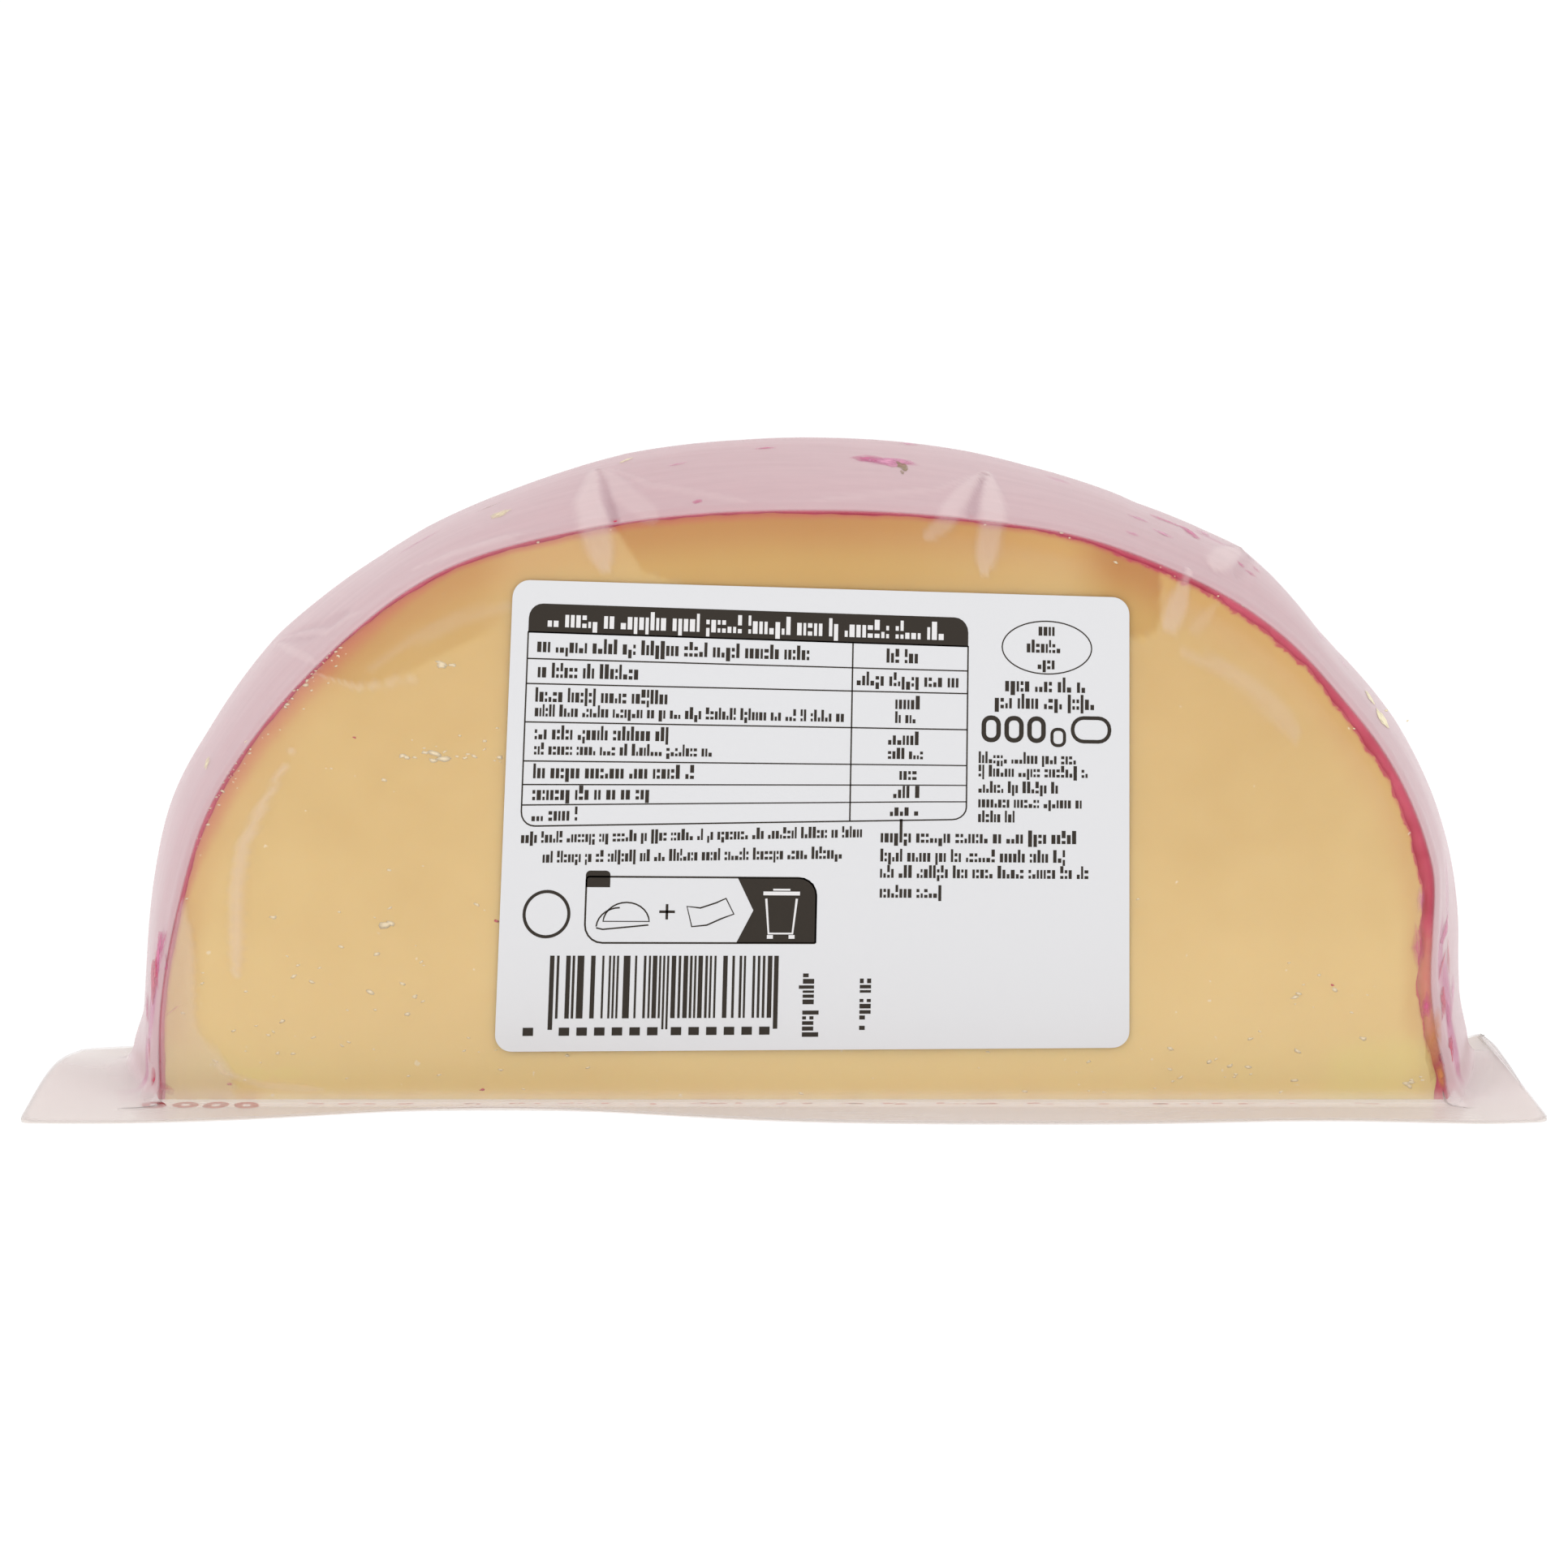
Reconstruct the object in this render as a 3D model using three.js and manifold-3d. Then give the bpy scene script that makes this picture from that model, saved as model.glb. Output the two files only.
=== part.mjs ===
// A half-moon slice of waxed semi-hard cheese in its vacuum pack.
//
// The slice is cut from a flattened ball of cheese: both cut faces are half-moons, and the waxed
// rim between them curves outwards from the smaller front face to the larger back face. The slice
// stands on its straight cut side. A clear film, formed to the slice, covers it and spreads at the
// foot into a flat flange, which is sealed all round to a printed base film. A paper sticker lies
// on the front.
//
// Millimetres. +Z is up, +X is the length of the pack, and the front, with the sticker, faces -Y.
// The origin is on the underside of the base film, at the middle of the flange.

import * as THREE from 'three';
import { mergeVertices } from 'three/addons/utils/BufferGeometryUtils.js';
import Module from 'manifold-3d';

// ---- driving dimensions ------------------------------------------------------------------------

const PACK = { length: 200, depth: 45, cornerRadius: 1.5 };
const FILM = { thickness: 0.3, standOff: 0.3, edgeRadius: 1.4, footFillet: 3.0 };
const BASE_FILM_THICKNESS = 0.3;
const CLEARANCE = 0.25; // between two solids that lie against each other

// The ball's outline on each cut face: a straight foot, then half of a superellipse.
const SLICE = {
  centreX: 3.0,
  frontY: -9.8,
  thickness: 22.0,
  front: { halfWidth: 85.6, height: 79.0, power: 2.34, foot: 4.0 },
  back: { halfWidth: 90.2, height: 86.8, power: 2.0, foot: 17.0 },
  bulge: 0.38, // how much steeper the rim starts at the front than its mean slope
  cutEdgeRadius: 0.5,
};
const WAX_THICKNESS = 1.6;

const LABEL = {
  width: 84.0,
  height: 61.5,
  cornerRadius: 2.2,
  thickness: 0.2,
  centreX: 4.0,
  aboveFoot: 37.0, // height of its middle
  tilt: THREE.MathUtils.degToRad(-0.7), // stuck on a little crooked
};

// How finely the curved surfaces are divided.
const STEPS = { arch: 40, foot: 3, corner: 2, rim: 5, fillet: 4 };

// ---- derived heights ---------------------------------------------------------------------------

const flangeBottomZ = BASE_FILM_THICKNESS + CLEARANCE;
const flangeTopZ = flangeBottomZ + FILM.thickness;
const sliceFootZ = flangeBottomZ;
const backY = SLICE.frontY + SLICE.thickness;

// ---- the shape of the slice --------------------------------------------------------------------

/** Outline of the ball in the plane y: the front outline blended towards the back one, rising
 *  along a parabola that is steepest at the front, as a ball's surface does. */
function outlineAt(y) {
  const across = (y - SLICE.frontY) / SLICE.thickness;
  const blend = (1 + SLICE.bulge) * across - SLICE.bulge * across * across;
  const mix = (key) => THREE.MathUtils.lerp(SLICE.front[key], SLICE.back[key], blend);
  return {
    halfWidth: mix('halfWidth'),
    height: mix('height'),
    power: mix('power'),
    foot: Math.max(mix('foot'), 1),
  };
}

/** Stations along the outline, from the right foot over the top to the left foot. Each is a
 *  fraction of the foot's height, or an angle on the arch. */
function stationsAlong() {
  const fractions = Array.from({ length: STEPS.foot }, (_, i) => i / STEPS.foot);
  const rise = fractions.map((fraction) => ({ side: 1, fraction }));
  const arch = Array.from({ length: STEPS.arch + 1 }, (_, i) => ({
    angle: (Math.PI * i) / STEPS.arch,
  }));
  const fall = [...fractions].reverse().map((fraction) => ({ side: -1, fraction }));
  return [...rise, ...arch, ...fall];
}

/** The point of the outline in plane y at a station, grown outwards by `grow`, over bottomZ. */
function outlinePoint(station, y, grow, bottomZ) {
  const { halfWidth, height, power, foot } = outlineAt(y);
  const a = halfWidth + grow;
  const footTop = sliceFootZ + foot;
  if (station.angle === undefined) {
    return { x: station.side * a, z: THREE.MathUtils.lerp(bottomZ, footTop, station.fraction) };
  }
  const cos = Math.cos(station.angle);
  const sin = Math.sin(station.angle);
  const squareness = 2 / power;
  return {
    x: a * Math.sign(cos) * Math.abs(cos) ** squareness,
    z: footTop + (height - foot + grow) * Math.max(sin, 0) ** squareness,
  };
}

/** Rows across the slice from its front face to its back face: a rounded edge, the rim, and a
 *  rounded edge. A row's inset is how far the rounding holds it back from the outline. */
function rowsAcross(faceGrow, edge) {
  const frontY = SLICE.frontY - faceGrow;
  const rearY = backY + faceGrow;
  const turns = Array.from({ length: STEPS.corner + 1 }, (_, i) => (Math.PI / 2) * (i / STEPS.corner));
  const front = turns.map((turn) => ({
    y: frontY + edge * (1 - Math.cos(turn)), inset: edge * (1 - Math.sin(turn)),
  }));
  const rim = Array.from({ length: STEPS.rim - 1 }, (_, i) => ({
    y: THREE.MathUtils.lerp(frontY + edge, rearY - edge, (i + 1) / STEPS.rim), inset: 0,
  }));
  const rear = [...turns].reverse().map((turn) => ({
    y: rearY - edge * (1 - Math.cos(turn)), inset: edge * (1 - Math.sin(turn)),
  }));
  return [...front, ...rim, ...rear];
}

/** A geometry from a list of points and a list of triangles. */
function meshOf(points, index) {
  const geometry = new THREE.BufferGeometry();
  geometry.setAttribute('position', new THREE.Float32BufferAttribute(points.flat(), 3));
  geometry.setIndex(index);
  return geometry;
}

/**
 * A closed body shaped like the slice: its outline grown by `grow`, its cut faces moved out by
 * `faceGrow`, its edges rounded by `edge`, standing on bottomZ. Its skin is a grid of stations
 * along the outline by rows across the slice. Each cut face is a fan about the middle of its
 * foot, and the flat foot is a row of strips.
 */
function sliceBody({ grow, faceGrow = grow, edge, bottomZ }) {
  const stations = stationsAlong();
  const rows = rowsAcross(faceGrow, edge);
  const points = [];
  const addPoint = (x, y, z) => points.push([SLICE.centreX + x, y, z]) - 1;
  const grid = rows.map(({ y, inset }) => stations.map((station) => {
    const { x, z } = outlinePoint(station, y, grow - inset, bottomZ);
    return addPoint(x, y, z);
  }));
  const frontHub = addPoint(0, rows[0].y, bottomZ);
  const rearHub = addPoint(0, rows.at(-1).y, bottomZ);

  const index = [];
  const quad = (a, b, c, d) => index.push(a, b, c, a, c, d);
  const last = stations.length - 1;
  for (let r = 0; r < grid.length - 1; r++) {
    for (let s = 0; s < last; s++) quad(grid[r][s], grid[r + 1][s], grid[r + 1][s + 1], grid[r][s + 1]);
    quad(grid[r][0], grid[r][last], grid[r + 1][last], grid[r + 1][0]);
  }
  for (let s = 0; s < last; s++) {
    index.push(frontHub, grid[0][s], grid[0][s + 1]);
    index.push(grid.at(-1)[s], rearHub, grid.at(-1)[s + 1]);
  }
  index.push(frontHub, grid[0][last], grid[0][0]);
  index.push(grid.at(-1)[0], grid.at(-1)[last], rearHub);
  return meshOf(points, index);
}

/**
 * The spread of a film round the foot of the slice: a stack of level rings, each the outline of
 * the foot, widening downwards along a quarter circle of `fillet` that ends flat at bottomZ.
 * `reachBelow` carries the widest ring straight down past bottomZ.
 */
function footSpread({ grow, edge, fillet, bottomZ, reachBelow }) {
  const levels = Array.from({ length: STEPS.fillet + 1 }, (_, i) => {
    const turn = (Math.PI / 2) * (i / STEPS.fillet);
    return { spread: fillet * (1 - Math.cos(turn)), z: bottomZ + fillet * (1 - Math.sin(turn)) };
  });
  levels.push({ spread: fillet, z: bottomZ - reachBelow });
  const points = [];
  const addPoint = (x, y, z) => points.push([SLICE.centreX + x, y, z]) - 1;
  const rings = levels.map(({ spread, z }) => {
    const rows = rowsAcross(grow + spread, edge + spread);
    // a row keeps the half width of the foot, plus what it has spread
    const halfWidths = rows.map(({ y, inset }) => (
      outlineAt(THREE.MathUtils.clamp(y, SLICE.frontY, backY)).halfWidth + grow + spread - inset
    ));
    const right = rows.map(({ y }, i) => addPoint(halfWidths[i], y, z));
    const left = rows.map(({ y }, i) => addPoint(-halfWidths[i], y, z));
    return [...right, ...left.reverse()];
  });

  const index = [];
  const quad = (a, b, c, d) => index.push(a, b, c, a, c, d);
  const count = rings[0].length;
  for (let k = 0; k < rings.length - 1; k++) {
    for (let i = 0; i < count; i++) {
      const j = (i + 1) % count;
      quad(rings[k][i], rings[k + 1][i], rings[k + 1][j], rings[k][j]);
    }
  }
  const [top, bottom] = [rings[0], rings.at(-1)];
  for (let i = 0; i < count / 2 - 1; i++) {
    const j = count - 1 - i;
    quad(top[i], top[i + 1], top[j - 1], top[j]);
    quad(bottom[j], bottom[j - 1], bottom[i + 1], bottom[i]);
  }
  return meshOf(points, index);
}

/** A rounded rectangle lying in the XY plane, pushed up by `thickness`. */
function roundedPlate(width, height, radius, thickness) {
  const [w, h] = [width / 2, height / 2];
  const outline = new THREE.Shape();
  outline.moveTo(-w + radius, -h);
  outline.absarc(w - radius, -h + radius, radius, -Math.PI / 2, 0);
  outline.absarc(w - radius, h - radius, radius, 0, Math.PI / 2);
  outline.absarc(-w + radius, h - radius, radius, Math.PI / 2, Math.PI);
  outline.absarc(-w + radius, -h + radius, radius, Math.PI, 1.5 * Math.PI);
  return new THREE.ExtrudeGeometry(outline, {
    depth: thickness, bevelEnabled: false, curveSegments: 5,
  });
}

// ---- boolean joins and cuts --------------------------------------------------------------------

const wasm = await Module();
wasm.setup();

function toSolid(geometry) {
  const bare = geometry.clone();
  bare.deleteAttribute('normal');
  bare.deleteAttribute('uv');
  const merged = mergeVertices(bare, 1e-5);
  return new wasm.Manifold(new wasm.Mesh({
    numProp: 3,
    vertProperties: new Float32Array(merged.attributes.position.array),
    triVerts: new Uint32Array(merged.index.array),
  }));
}

function fromSolid(solid) {
  const mesh = solid.getMesh();
  const geometry = new THREE.BufferGeometry();
  geometry.setAttribute('position', new THREE.Float32BufferAttribute(mesh.vertProperties, 3));
  geometry.setIndex(new THREE.Uint32BufferAttribute(mesh.triVerts, 1));
  return geometry;
}

// ---- pieces ------------------------------------------------------------------------------------

const pack = new THREE.Group();

function addPiece(name, geometry, look) {
  geometry.computeVertexNormals();
  const mesh = new THREE.Mesh(geometry, new THREE.MeshStandardMaterial({ metalness: 0, ...look }));
  mesh.name = name;
  pack.add(mesh);
  return mesh;
}

// The cheese itself, one solid with two cut faces and a cut foot.
function cheesePaste() {
  return sliceBody({
    grow: -(WAX_THICKNESS + CLEARANCE), faceGrow: 0, edge: SLICE.cutEdgeRadius, bottomZ: sliceFootZ,
  });
}

// The coat of red wax that the ball was dipped in, cut through with the slice.
function waxRind() {
  const reach = 4; // the cutter runs past both cut faces and below the foot
  const ball = sliceBody({ grow: 0, faceGrow: 0, edge: SLICE.cutEdgeRadius, bottomZ: sliceFootZ });
  const core = sliceBody({
    grow: -WAX_THICKNESS, faceGrow: reach, edge: 0.01, bottomZ: sliceFootZ - reach,
  });
  return fromSolid(toSolid(ball).subtract(toSolid(core)));
}

// The film drawn over the slice, with the flange that it spreads into at the foot.
function formedFilm() {
  const reachBelow = 1; // the hollow runs out through the underside
  const outside = {
    grow: FILM.standOff + FILM.thickness, edge: FILM.edgeRadius, fillet: FILM.footFillet,
    bottomZ: flangeTopZ, reachBelow: FILM.thickness / 2,
  };
  const inside = {
    grow: FILM.standOff, edge: FILM.edgeRadius - FILM.thickness,
    fillet: FILM.footFillet + FILM.thickness, bottomZ: flangeBottomZ, reachBelow,
  };
  const flange = roundedPlate(PACK.length, PACK.depth, PACK.cornerRadius, FILM.thickness);
  flange.translate(0, 0, flangeBottomZ);
  const outer = toSolid(sliceBody(outside)).add(toSolid(footSpread(outside))).add(toSolid(flange));
  const hollow = toSolid(sliceBody(inside)).add(toSolid(footSpread(inside)));
  return fromSolid(outer.subtract(hollow));
}

// The flat printed film under the slice, which the pack stands on.
function baseFilm() {
  return roundedPlate(PACK.length, PACK.depth, PACK.cornerRadius, BASE_FILM_THICKNESS);
}

// The paper sticker on the front of the film.
function label() {
  const geometry = roundedPlate(LABEL.width, LABEL.height, LABEL.cornerRadius, LABEL.thickness);
  geometry.rotateZ(LABEL.tilt);
  geometry.rotateX(Math.PI / 2);
  return geometry;
}

addPiece('cheese_paste', cheesePaste(), { color: '#ddba7c', roughness: 0.55 });
addPiece('wax_rind', waxRind(), { color: '#b5304a', roughness: 0.45 });
addPiece('formed_film', formedFilm(), {
  color: '#e8d6dc', roughness: 0.2, transparent: true, opacity: 0.35,
});
addPiece('base_film', baseFilm(), { color: '#d9cdd0', roughness: 0.3 });
const sticker = addPiece('label', label(), { color: '#e6e4e6', roughness: 0.6 });
sticker.position.set(
  LABEL.centreX,
  SLICE.frontY - FILM.standOff - FILM.thickness - CLEARANCE,
  sliceFootZ + LABEL.aboveFoot,
);

export default pack;
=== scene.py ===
import bmesh
import bpy
import numpy as np
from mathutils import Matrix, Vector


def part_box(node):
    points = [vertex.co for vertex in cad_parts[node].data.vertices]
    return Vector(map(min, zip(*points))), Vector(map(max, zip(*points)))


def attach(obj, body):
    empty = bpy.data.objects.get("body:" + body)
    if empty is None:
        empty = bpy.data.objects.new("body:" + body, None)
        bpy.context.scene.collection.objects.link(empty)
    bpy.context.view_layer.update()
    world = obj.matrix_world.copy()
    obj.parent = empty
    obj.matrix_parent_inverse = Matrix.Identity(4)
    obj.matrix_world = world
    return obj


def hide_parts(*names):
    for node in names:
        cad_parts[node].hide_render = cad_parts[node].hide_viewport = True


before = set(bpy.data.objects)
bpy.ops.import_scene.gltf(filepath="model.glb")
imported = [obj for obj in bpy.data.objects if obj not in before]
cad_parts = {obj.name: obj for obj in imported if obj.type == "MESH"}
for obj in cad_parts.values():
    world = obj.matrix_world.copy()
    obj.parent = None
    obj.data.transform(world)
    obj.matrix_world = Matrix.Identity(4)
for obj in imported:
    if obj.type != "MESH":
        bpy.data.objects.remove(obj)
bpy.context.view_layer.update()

# ================================================================================================
# The shape of the slice
# A slice off a flattened ball of cheese, stood on its straight cut side. Its front cut face is
# the smaller one, and the waxed rim rises from it to the back face. The paste, the wax and the
# film all follow this shape, so it is worked out once, in millimetres, from the frame.
# ================================================================================================

MM = 0.001

wax_low, wax_high = (np.array(corner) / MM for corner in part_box("wax_rind"))
film_high = np.array(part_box("formed_film")[1]) / MM

CENTRE_X = (wax_low[0] + wax_high[0]) / 2
FRONT_Y, BACK_Y = wax_low[1], wax_high[1]
FOOT_Z = wax_low[2]

# half width, height, squareness and straight foot of the outline on each cut face
BACK_OUTLINE = np.array([(wax_high[0] - wax_low[0]) / 2, wax_high[2] - FOOT_Z, 2.0, 17.0])
FRONT_OUTLINE = BACK_OUTLINE + np.array([-4.6, -7.8, 0.34, -13.0])
RIM_BULGE = 0.38  # how much steeper the rim starts at the front than its mean slope
FOOT_SPAN = 0.12  # the share of a station's angle given to the straight foot, in radians


def smooth(low, high, value):
    """0 below low, 1 above high, and a smooth S between them."""
    u = np.clip((value - low) / (high - low), 0, 1)
    return u * u * (3 - 2 * u)


def hump(value, place, reach):
    """A rounded hump: 1 at its place, and falling away over its reach to both sides."""
    return np.exp(-(((value - place) / reach) ** 2))


def run_along(x, y):
    """How far along a line of straight stretches each of its points lies."""
    return np.concatenate([[0], np.cumsum(np.hypot(np.diff(x), np.diff(y)))])


def shoulder(station):
    """How far the front edge stands out past a plain arch, in mm: most over the right shoulder, a
    little over the crown and the left shoulder, and drawn in down at the right foot."""
    turn = np.degrees(station)
    right = 1.35 * smooth(8, 18, turn) * smooth(78, 50, turn) - 0.4 * hump(turn, 38, 6)
    crown = 0.45 * smooth(8, 18, turn) * smooth(140, 124, turn) + 0.5 * hump(turn, 70, 7)
    left = 0.8 * hump(turn, 119, 9)
    return right + crown + left - 0.85 * smooth(11, 5, turn)


def outline(station, y, grow):
    """x and z of the ball's outline in the plane y, grown by grow. A station is an angle from
    the right foot (just under 0) over the crown (a quarter turn) to the left foot. The arch is a
    superellipse, and the foot a straight line. Between the faces the outline follows a parabola."""
    across = (y - FRONT_Y) / (BACK_Y - FRONT_Y)
    blend = across * (1 + RIM_BULGE - RIM_BULGE * across)
    half, height, power, foot = (f + (b - f) * blend for f, b in zip(FRONT_OUTLINE, BACK_OUTLINE))
    angle = np.clip(station, 0, np.pi)
    rise = np.clip(1 + np.minimum(station, np.pi - station) / FOOT_SPAN, 0, 1)
    grow = grow + shoulder(station) * (1 - across)
    cosine = np.cos(angle)
    x = (half + grow) * np.sign(cosine) * np.abs(cosine) ** (2 / power)
    z = foot * rise + (height - foot + grow) * np.abs(np.sin(angle)) ** (2 / power)
    # the slice has settled: its left flank bulges low down, and its right foot is splayed
    left_bulge = ((1.3 - 0.6 * across) * smooth(38, 8, z) + 0.75 * hump(z, 38, 9)) * (x < 0)
    right_splay = 1.3 * smooth(11, 1, z) - 0.9 * (1 - across) * hump(z, 21, 11)
    return CENTRE_X + x - left_bulge + right_splay * (x > 0), FOOT_Z + z


def spread_stations(count, crowded=(), crowding=2.0, reach=5.0):
    """Stations at even distances along the rim, closer together round the crowded places and at
    both feet. Returns the stations and their distances along the front edge, in mm from the
    crown, positive to the right."""
    dense = np.linspace(-FOOT_SPAN, np.pi + FOOT_SPAN, 6001)
    runs = []
    for y in (FRONT_Y, BACK_Y):
        x, z = outline(dense, y, 0.0)
        run = run_along(x, z)
        runs.append(np.interp(np.pi / 2, dense, run) - run)
    density = 1 + 1.5 * hump(np.abs(runs[0]), runs[0].max(), 3.0)
    for place in crowded:
        density += crowding * hump(runs[0], place, reach)
    share = np.concatenate([[0], np.cumsum(density[1:] * -np.diff(runs[0] + runs[1]))])
    stations = np.interp(np.linspace(0, share[-1], count), share, dense)
    return stations, np.interp(stations, dense, runs[0])


def slice_skin(stations, along, grow, face_out, edge, steps, foot_z=FOOT_Z, corner=6):
    """The skin of a body shaped like the slice, as a grid of rows by stations. Each column runs
    from the front of the foot up the front face, round the rounded edge, across the rim, and down
    the back face. Returns the points, each row's outward level direction, and each point's depth:
    mm inwards from the front edge on the front face, minus mm across the rim, and past that mm
    down the back face."""
    front_steps, rim_steps, back_steps = steps
    front_y, back_y = FRONT_Y - face_out, BACK_Y + face_out
    reach = along / np.abs(along).max()

    def ease(count):
        """From 0 to 1 in even steps, but shorter ones near both ends."""
        u = np.linspace(0, 1, count)
        return 0.2 * u + 0.4 * (1 - np.cos(np.pi * u))

    def face(y, shares, backwards):
        """One face's rows: each column runs straight from the rim to its even place at the foot."""
        x_rim, z_rim = outline(stations, y, grow - edge)
        half = np.abs(x_rim - CENTRE_X).max()
        x_foot, z_foot = CENTRE_X + half * reach, np.full_like(x_rim, foot_z)
        down = shares[:, None]
        x = x_rim + (x_foot - x_rim) * down
        z = z_rim + (z_foot - z_rim) * down
        depth = np.hypot(x - x_rim, z - z_rim)
        if backwards:
            depth = -(back_y - front_y) - depth
        return np.stack([x, np.full_like(x, y), z], -1), depth

    def across(y, inset):
        """One row across the rim. Its straight foot is stretched, so that it ends at foot_z."""
        x, z = outline(stations, y, grow - inset)
        low = z < FOOT_Z + FRONT_OUTLINE[3]
        stretch = FOOT_Z + FRONT_OUTLINE[3] - foot_z
        z = np.where(low, foot_z + (z - FOOT_Z) * stretch / FRONT_OUTLINE[3], z)
        return np.stack([x, np.full_like(x, y), z], -1), np.full_like(x, front_y - y)

    def bend(face_y, side, turn):
        """One row of a rounded edge, a quarter circle: its y, its inset, and where it faces."""
        inset = edge * (1 - np.sin(turn))
        return face_y - side * edge * (1 - np.cos(turn)), inset, np.sin(turn), side * np.cos(turn)

    turns = np.linspace(0, np.pi / 2, corner + 1)
    front_rows, front_depth = face(front_y, ease(front_steps)[::-1], False)
    back_rows, back_depth = face(back_y, ease(back_steps), True)
    between = [bend(front_y, -1, turn) for turn in turns[1:]]
    rim_y = np.linspace(front_y + edge, back_y - edge, rim_steps)[1:-1]
    between += [(y, 0.0, 1.0, 0.0) for y in rim_y]
    between += [bend(back_y, 1, turn) for turn in turns[:0:-1]]
    middle = [across(y, inset) for y, inset, _, _ in between]
    points = np.concatenate([front_rows, np.stack([p for p, _ in middle]), back_rows])
    depth = np.concatenate([front_depth, np.stack([d for _, d in middle]), back_depth])
    level = np.array([(0.0, -1.0)] * front_steps + [b[2:] for b in between] + [(0.0, 1.0)] * back_steps)
    return points, level, depth


def grid_quads(rows, columns, first=0):
    """The quads of a grid of points numbered row by row."""
    corner = first + np.arange(rows - 1)[:, None] * columns + np.arange(columns - 1)[None, :]
    return np.stack([corner, corner + columns, corner + columns + 1, corner + 1], -1).reshape(-1, 4)


def make_piece(name, points, faces, values=None, merge=0.002, smooth_shaded=True):
    """A mesh object from points in mm and a list of faces, each listed so that it faces outwards.
    Values are named numbers, or colours, one for each point. Points closer than merge mm become
    one."""
    mesh = bpy.data.meshes.new(name)
    mesh.from_pydata(points.reshape(-1, 3) * MM, [], [list(f) for f in faces])
    for key, value in (values or {}).items():
        flat = np.ascontiguousarray(value, dtype=np.float32)
        if flat.shape[-1] == 4:
            mesh.attributes.new(key, "FLOAT_COLOR", "POINT").data.foreach_set("color", flat.ravel())
        else:
            mesh.attributes.new(key, "FLOAT", "POINT").data.foreach_set("value", flat.ravel())
    shape = bmesh.new()
    shape.from_mesh(mesh)
    bmesh.ops.remove_doubles(shape, verts=shape.verts, dist=merge * MM)
    bmesh.ops.dissolve_degenerate(shape, edges=shape.edges, dist=merge * MM / 2)
    shape.to_mesh(mesh)
    shape.free()
    if smooth_shaded:
        mesh.shade_smooth()
    piece = bpy.data.objects.new(name, mesh)
    bpy.context.scene.collection.objects.link(piece)
    return piece


def linear(code):
    """An sRGB hex colour as the linear numbers that a shader works in, fully opaque."""
    srgb = np.array([int(code[i:i + 2], 16) for i in (1, 3, 5)]) / 255
    low = srgb <= 0.04045
    return (*np.where(low, srgb / 12.92, ((srgb + 0.055) / 1.055) ** 2.4).tolist(), 1.0)


def add_node(tree, kind, inputs=None, **settings):
    """Add one node. Settings are its properties, and inputs gives a value or another node's
    output for each of its sockets."""
    made = tree.nodes.new(kind)
    for key, value in settings.items():
        setattr(made, key, value)
    for socket, value in (inputs or {}).items():
        if isinstance(value, bpy.types.NodeSocket):
            tree.links.new(value, made.inputs[socket])
        else:
            made.inputs[socket].default_value = value
    return made


def new_material(name, **shader_settings):
    """A material with one Principled shader. Returns it, its tree and the shader."""
    material = bpy.data.materials.new(name)
    material.use_nodes = True
    tree = material.node_tree
    shader = tree.nodes["Principled BSDF"]
    for socket, value in shader_settings.items():
        shader.inputs[socket.replace("_", " ")].default_value = value
    return material, tree, shader


# ================================================================================================
# Cheese paste
# Pressed semi-hard cheese, cut with a wire: flat, slightly moist faces with sharp edges that have
# rounded a little in the pack. The colour darkens towards the wax, and the lower corners and the
# foot, where whey has gathered, are yellower.
# ================================================================================================

PASTE_STEPS = (110, 12, 24)  # rows on the front face, across the rim and on the back face
PASTE_EDGE = 0.02
FOOT_FROM_WAX = 60.0  # stands for anywhere on the foot, which is well clear of the wax

paste_stations, paste_along = spread_stations(420)


def wax_depth(along):
    """How thick the wax is along the rim, in mm: thin over the crown and down the left side, a
    little thicker near the left foot, and thickest and most ragged low on the right."""
    places = [-135, -115, -90, -60, 0, 40, 90, 115, 130]
    plain = np.interp(along, places, [0.80, 1.05, 0.72, 0.76, 0.76, 0.90, 1.60, 2.1, 1.7])
    ragged = 0.09 * np.sin(along / 3.1) + 0.07 * np.sin(along / 1.37 + 2.0) + 0.06 * np.sin(along / 0.61)
    return plain + 0.10 * np.sin(along / 7.3 + 1.0) + ragged * (0.6 + smooth(30, 70, along))


def paste_skin():
    """The paste's skin: the slice's, held back from the outline by the wax."""
    points, level, depth = slice_skin(paste_stations, paste_along, 0.0, 0.0, PASTE_EDGE, PASTE_STEPS)
    inset = wax_depth(paste_along)
    # every point slides inwards along its column, by all of the inset at the rim and none at the foot
    inner, _, _ = slice_skin(paste_stations, paste_along, -1.0, 0.0, PASTE_EDGE, PASTE_STEPS)
    return points + (inner - points) * inset[None, :, None], level, depth


def wet_patches(x, z):
    """1 where the film lies wet against the front cut face and the paste shows darker, in mm: a
    wide patch under the crown, a rounded one at the right, and a crescent at the upper left."""
    left_side = np.interp(z, [67, 69.7, 71.5, 75.9, 77.7], [-6, -13.2, -18.6, -21.3, -22.6])
    crown = smooth(-0.5, 0.5, x - left_side) * smooth(66, 71, z) * smooth(46, 5, x)
    corner = np.hypot(np.clip(x - 46.9, 0, None), np.clip(65.4 - z, 0, None))
    corner = smooth(2.9, 2.3, corner) * smooth(36, 44, x)
    low_side = np.interp(
        x, [-63, -61.5, -56.2, -53.5, -49.4, -38, -34], [60, 57.9, 56.3, 56.7, 58.2, 64.0, 70])
    crescent = smooth(-0.3, 0.5, z - low_side) * smooth(-33, -42, x)
    return np.clip(0.75 * crown + 0.9 * corner + 0.55 * crescent, 0, 1)


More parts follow.
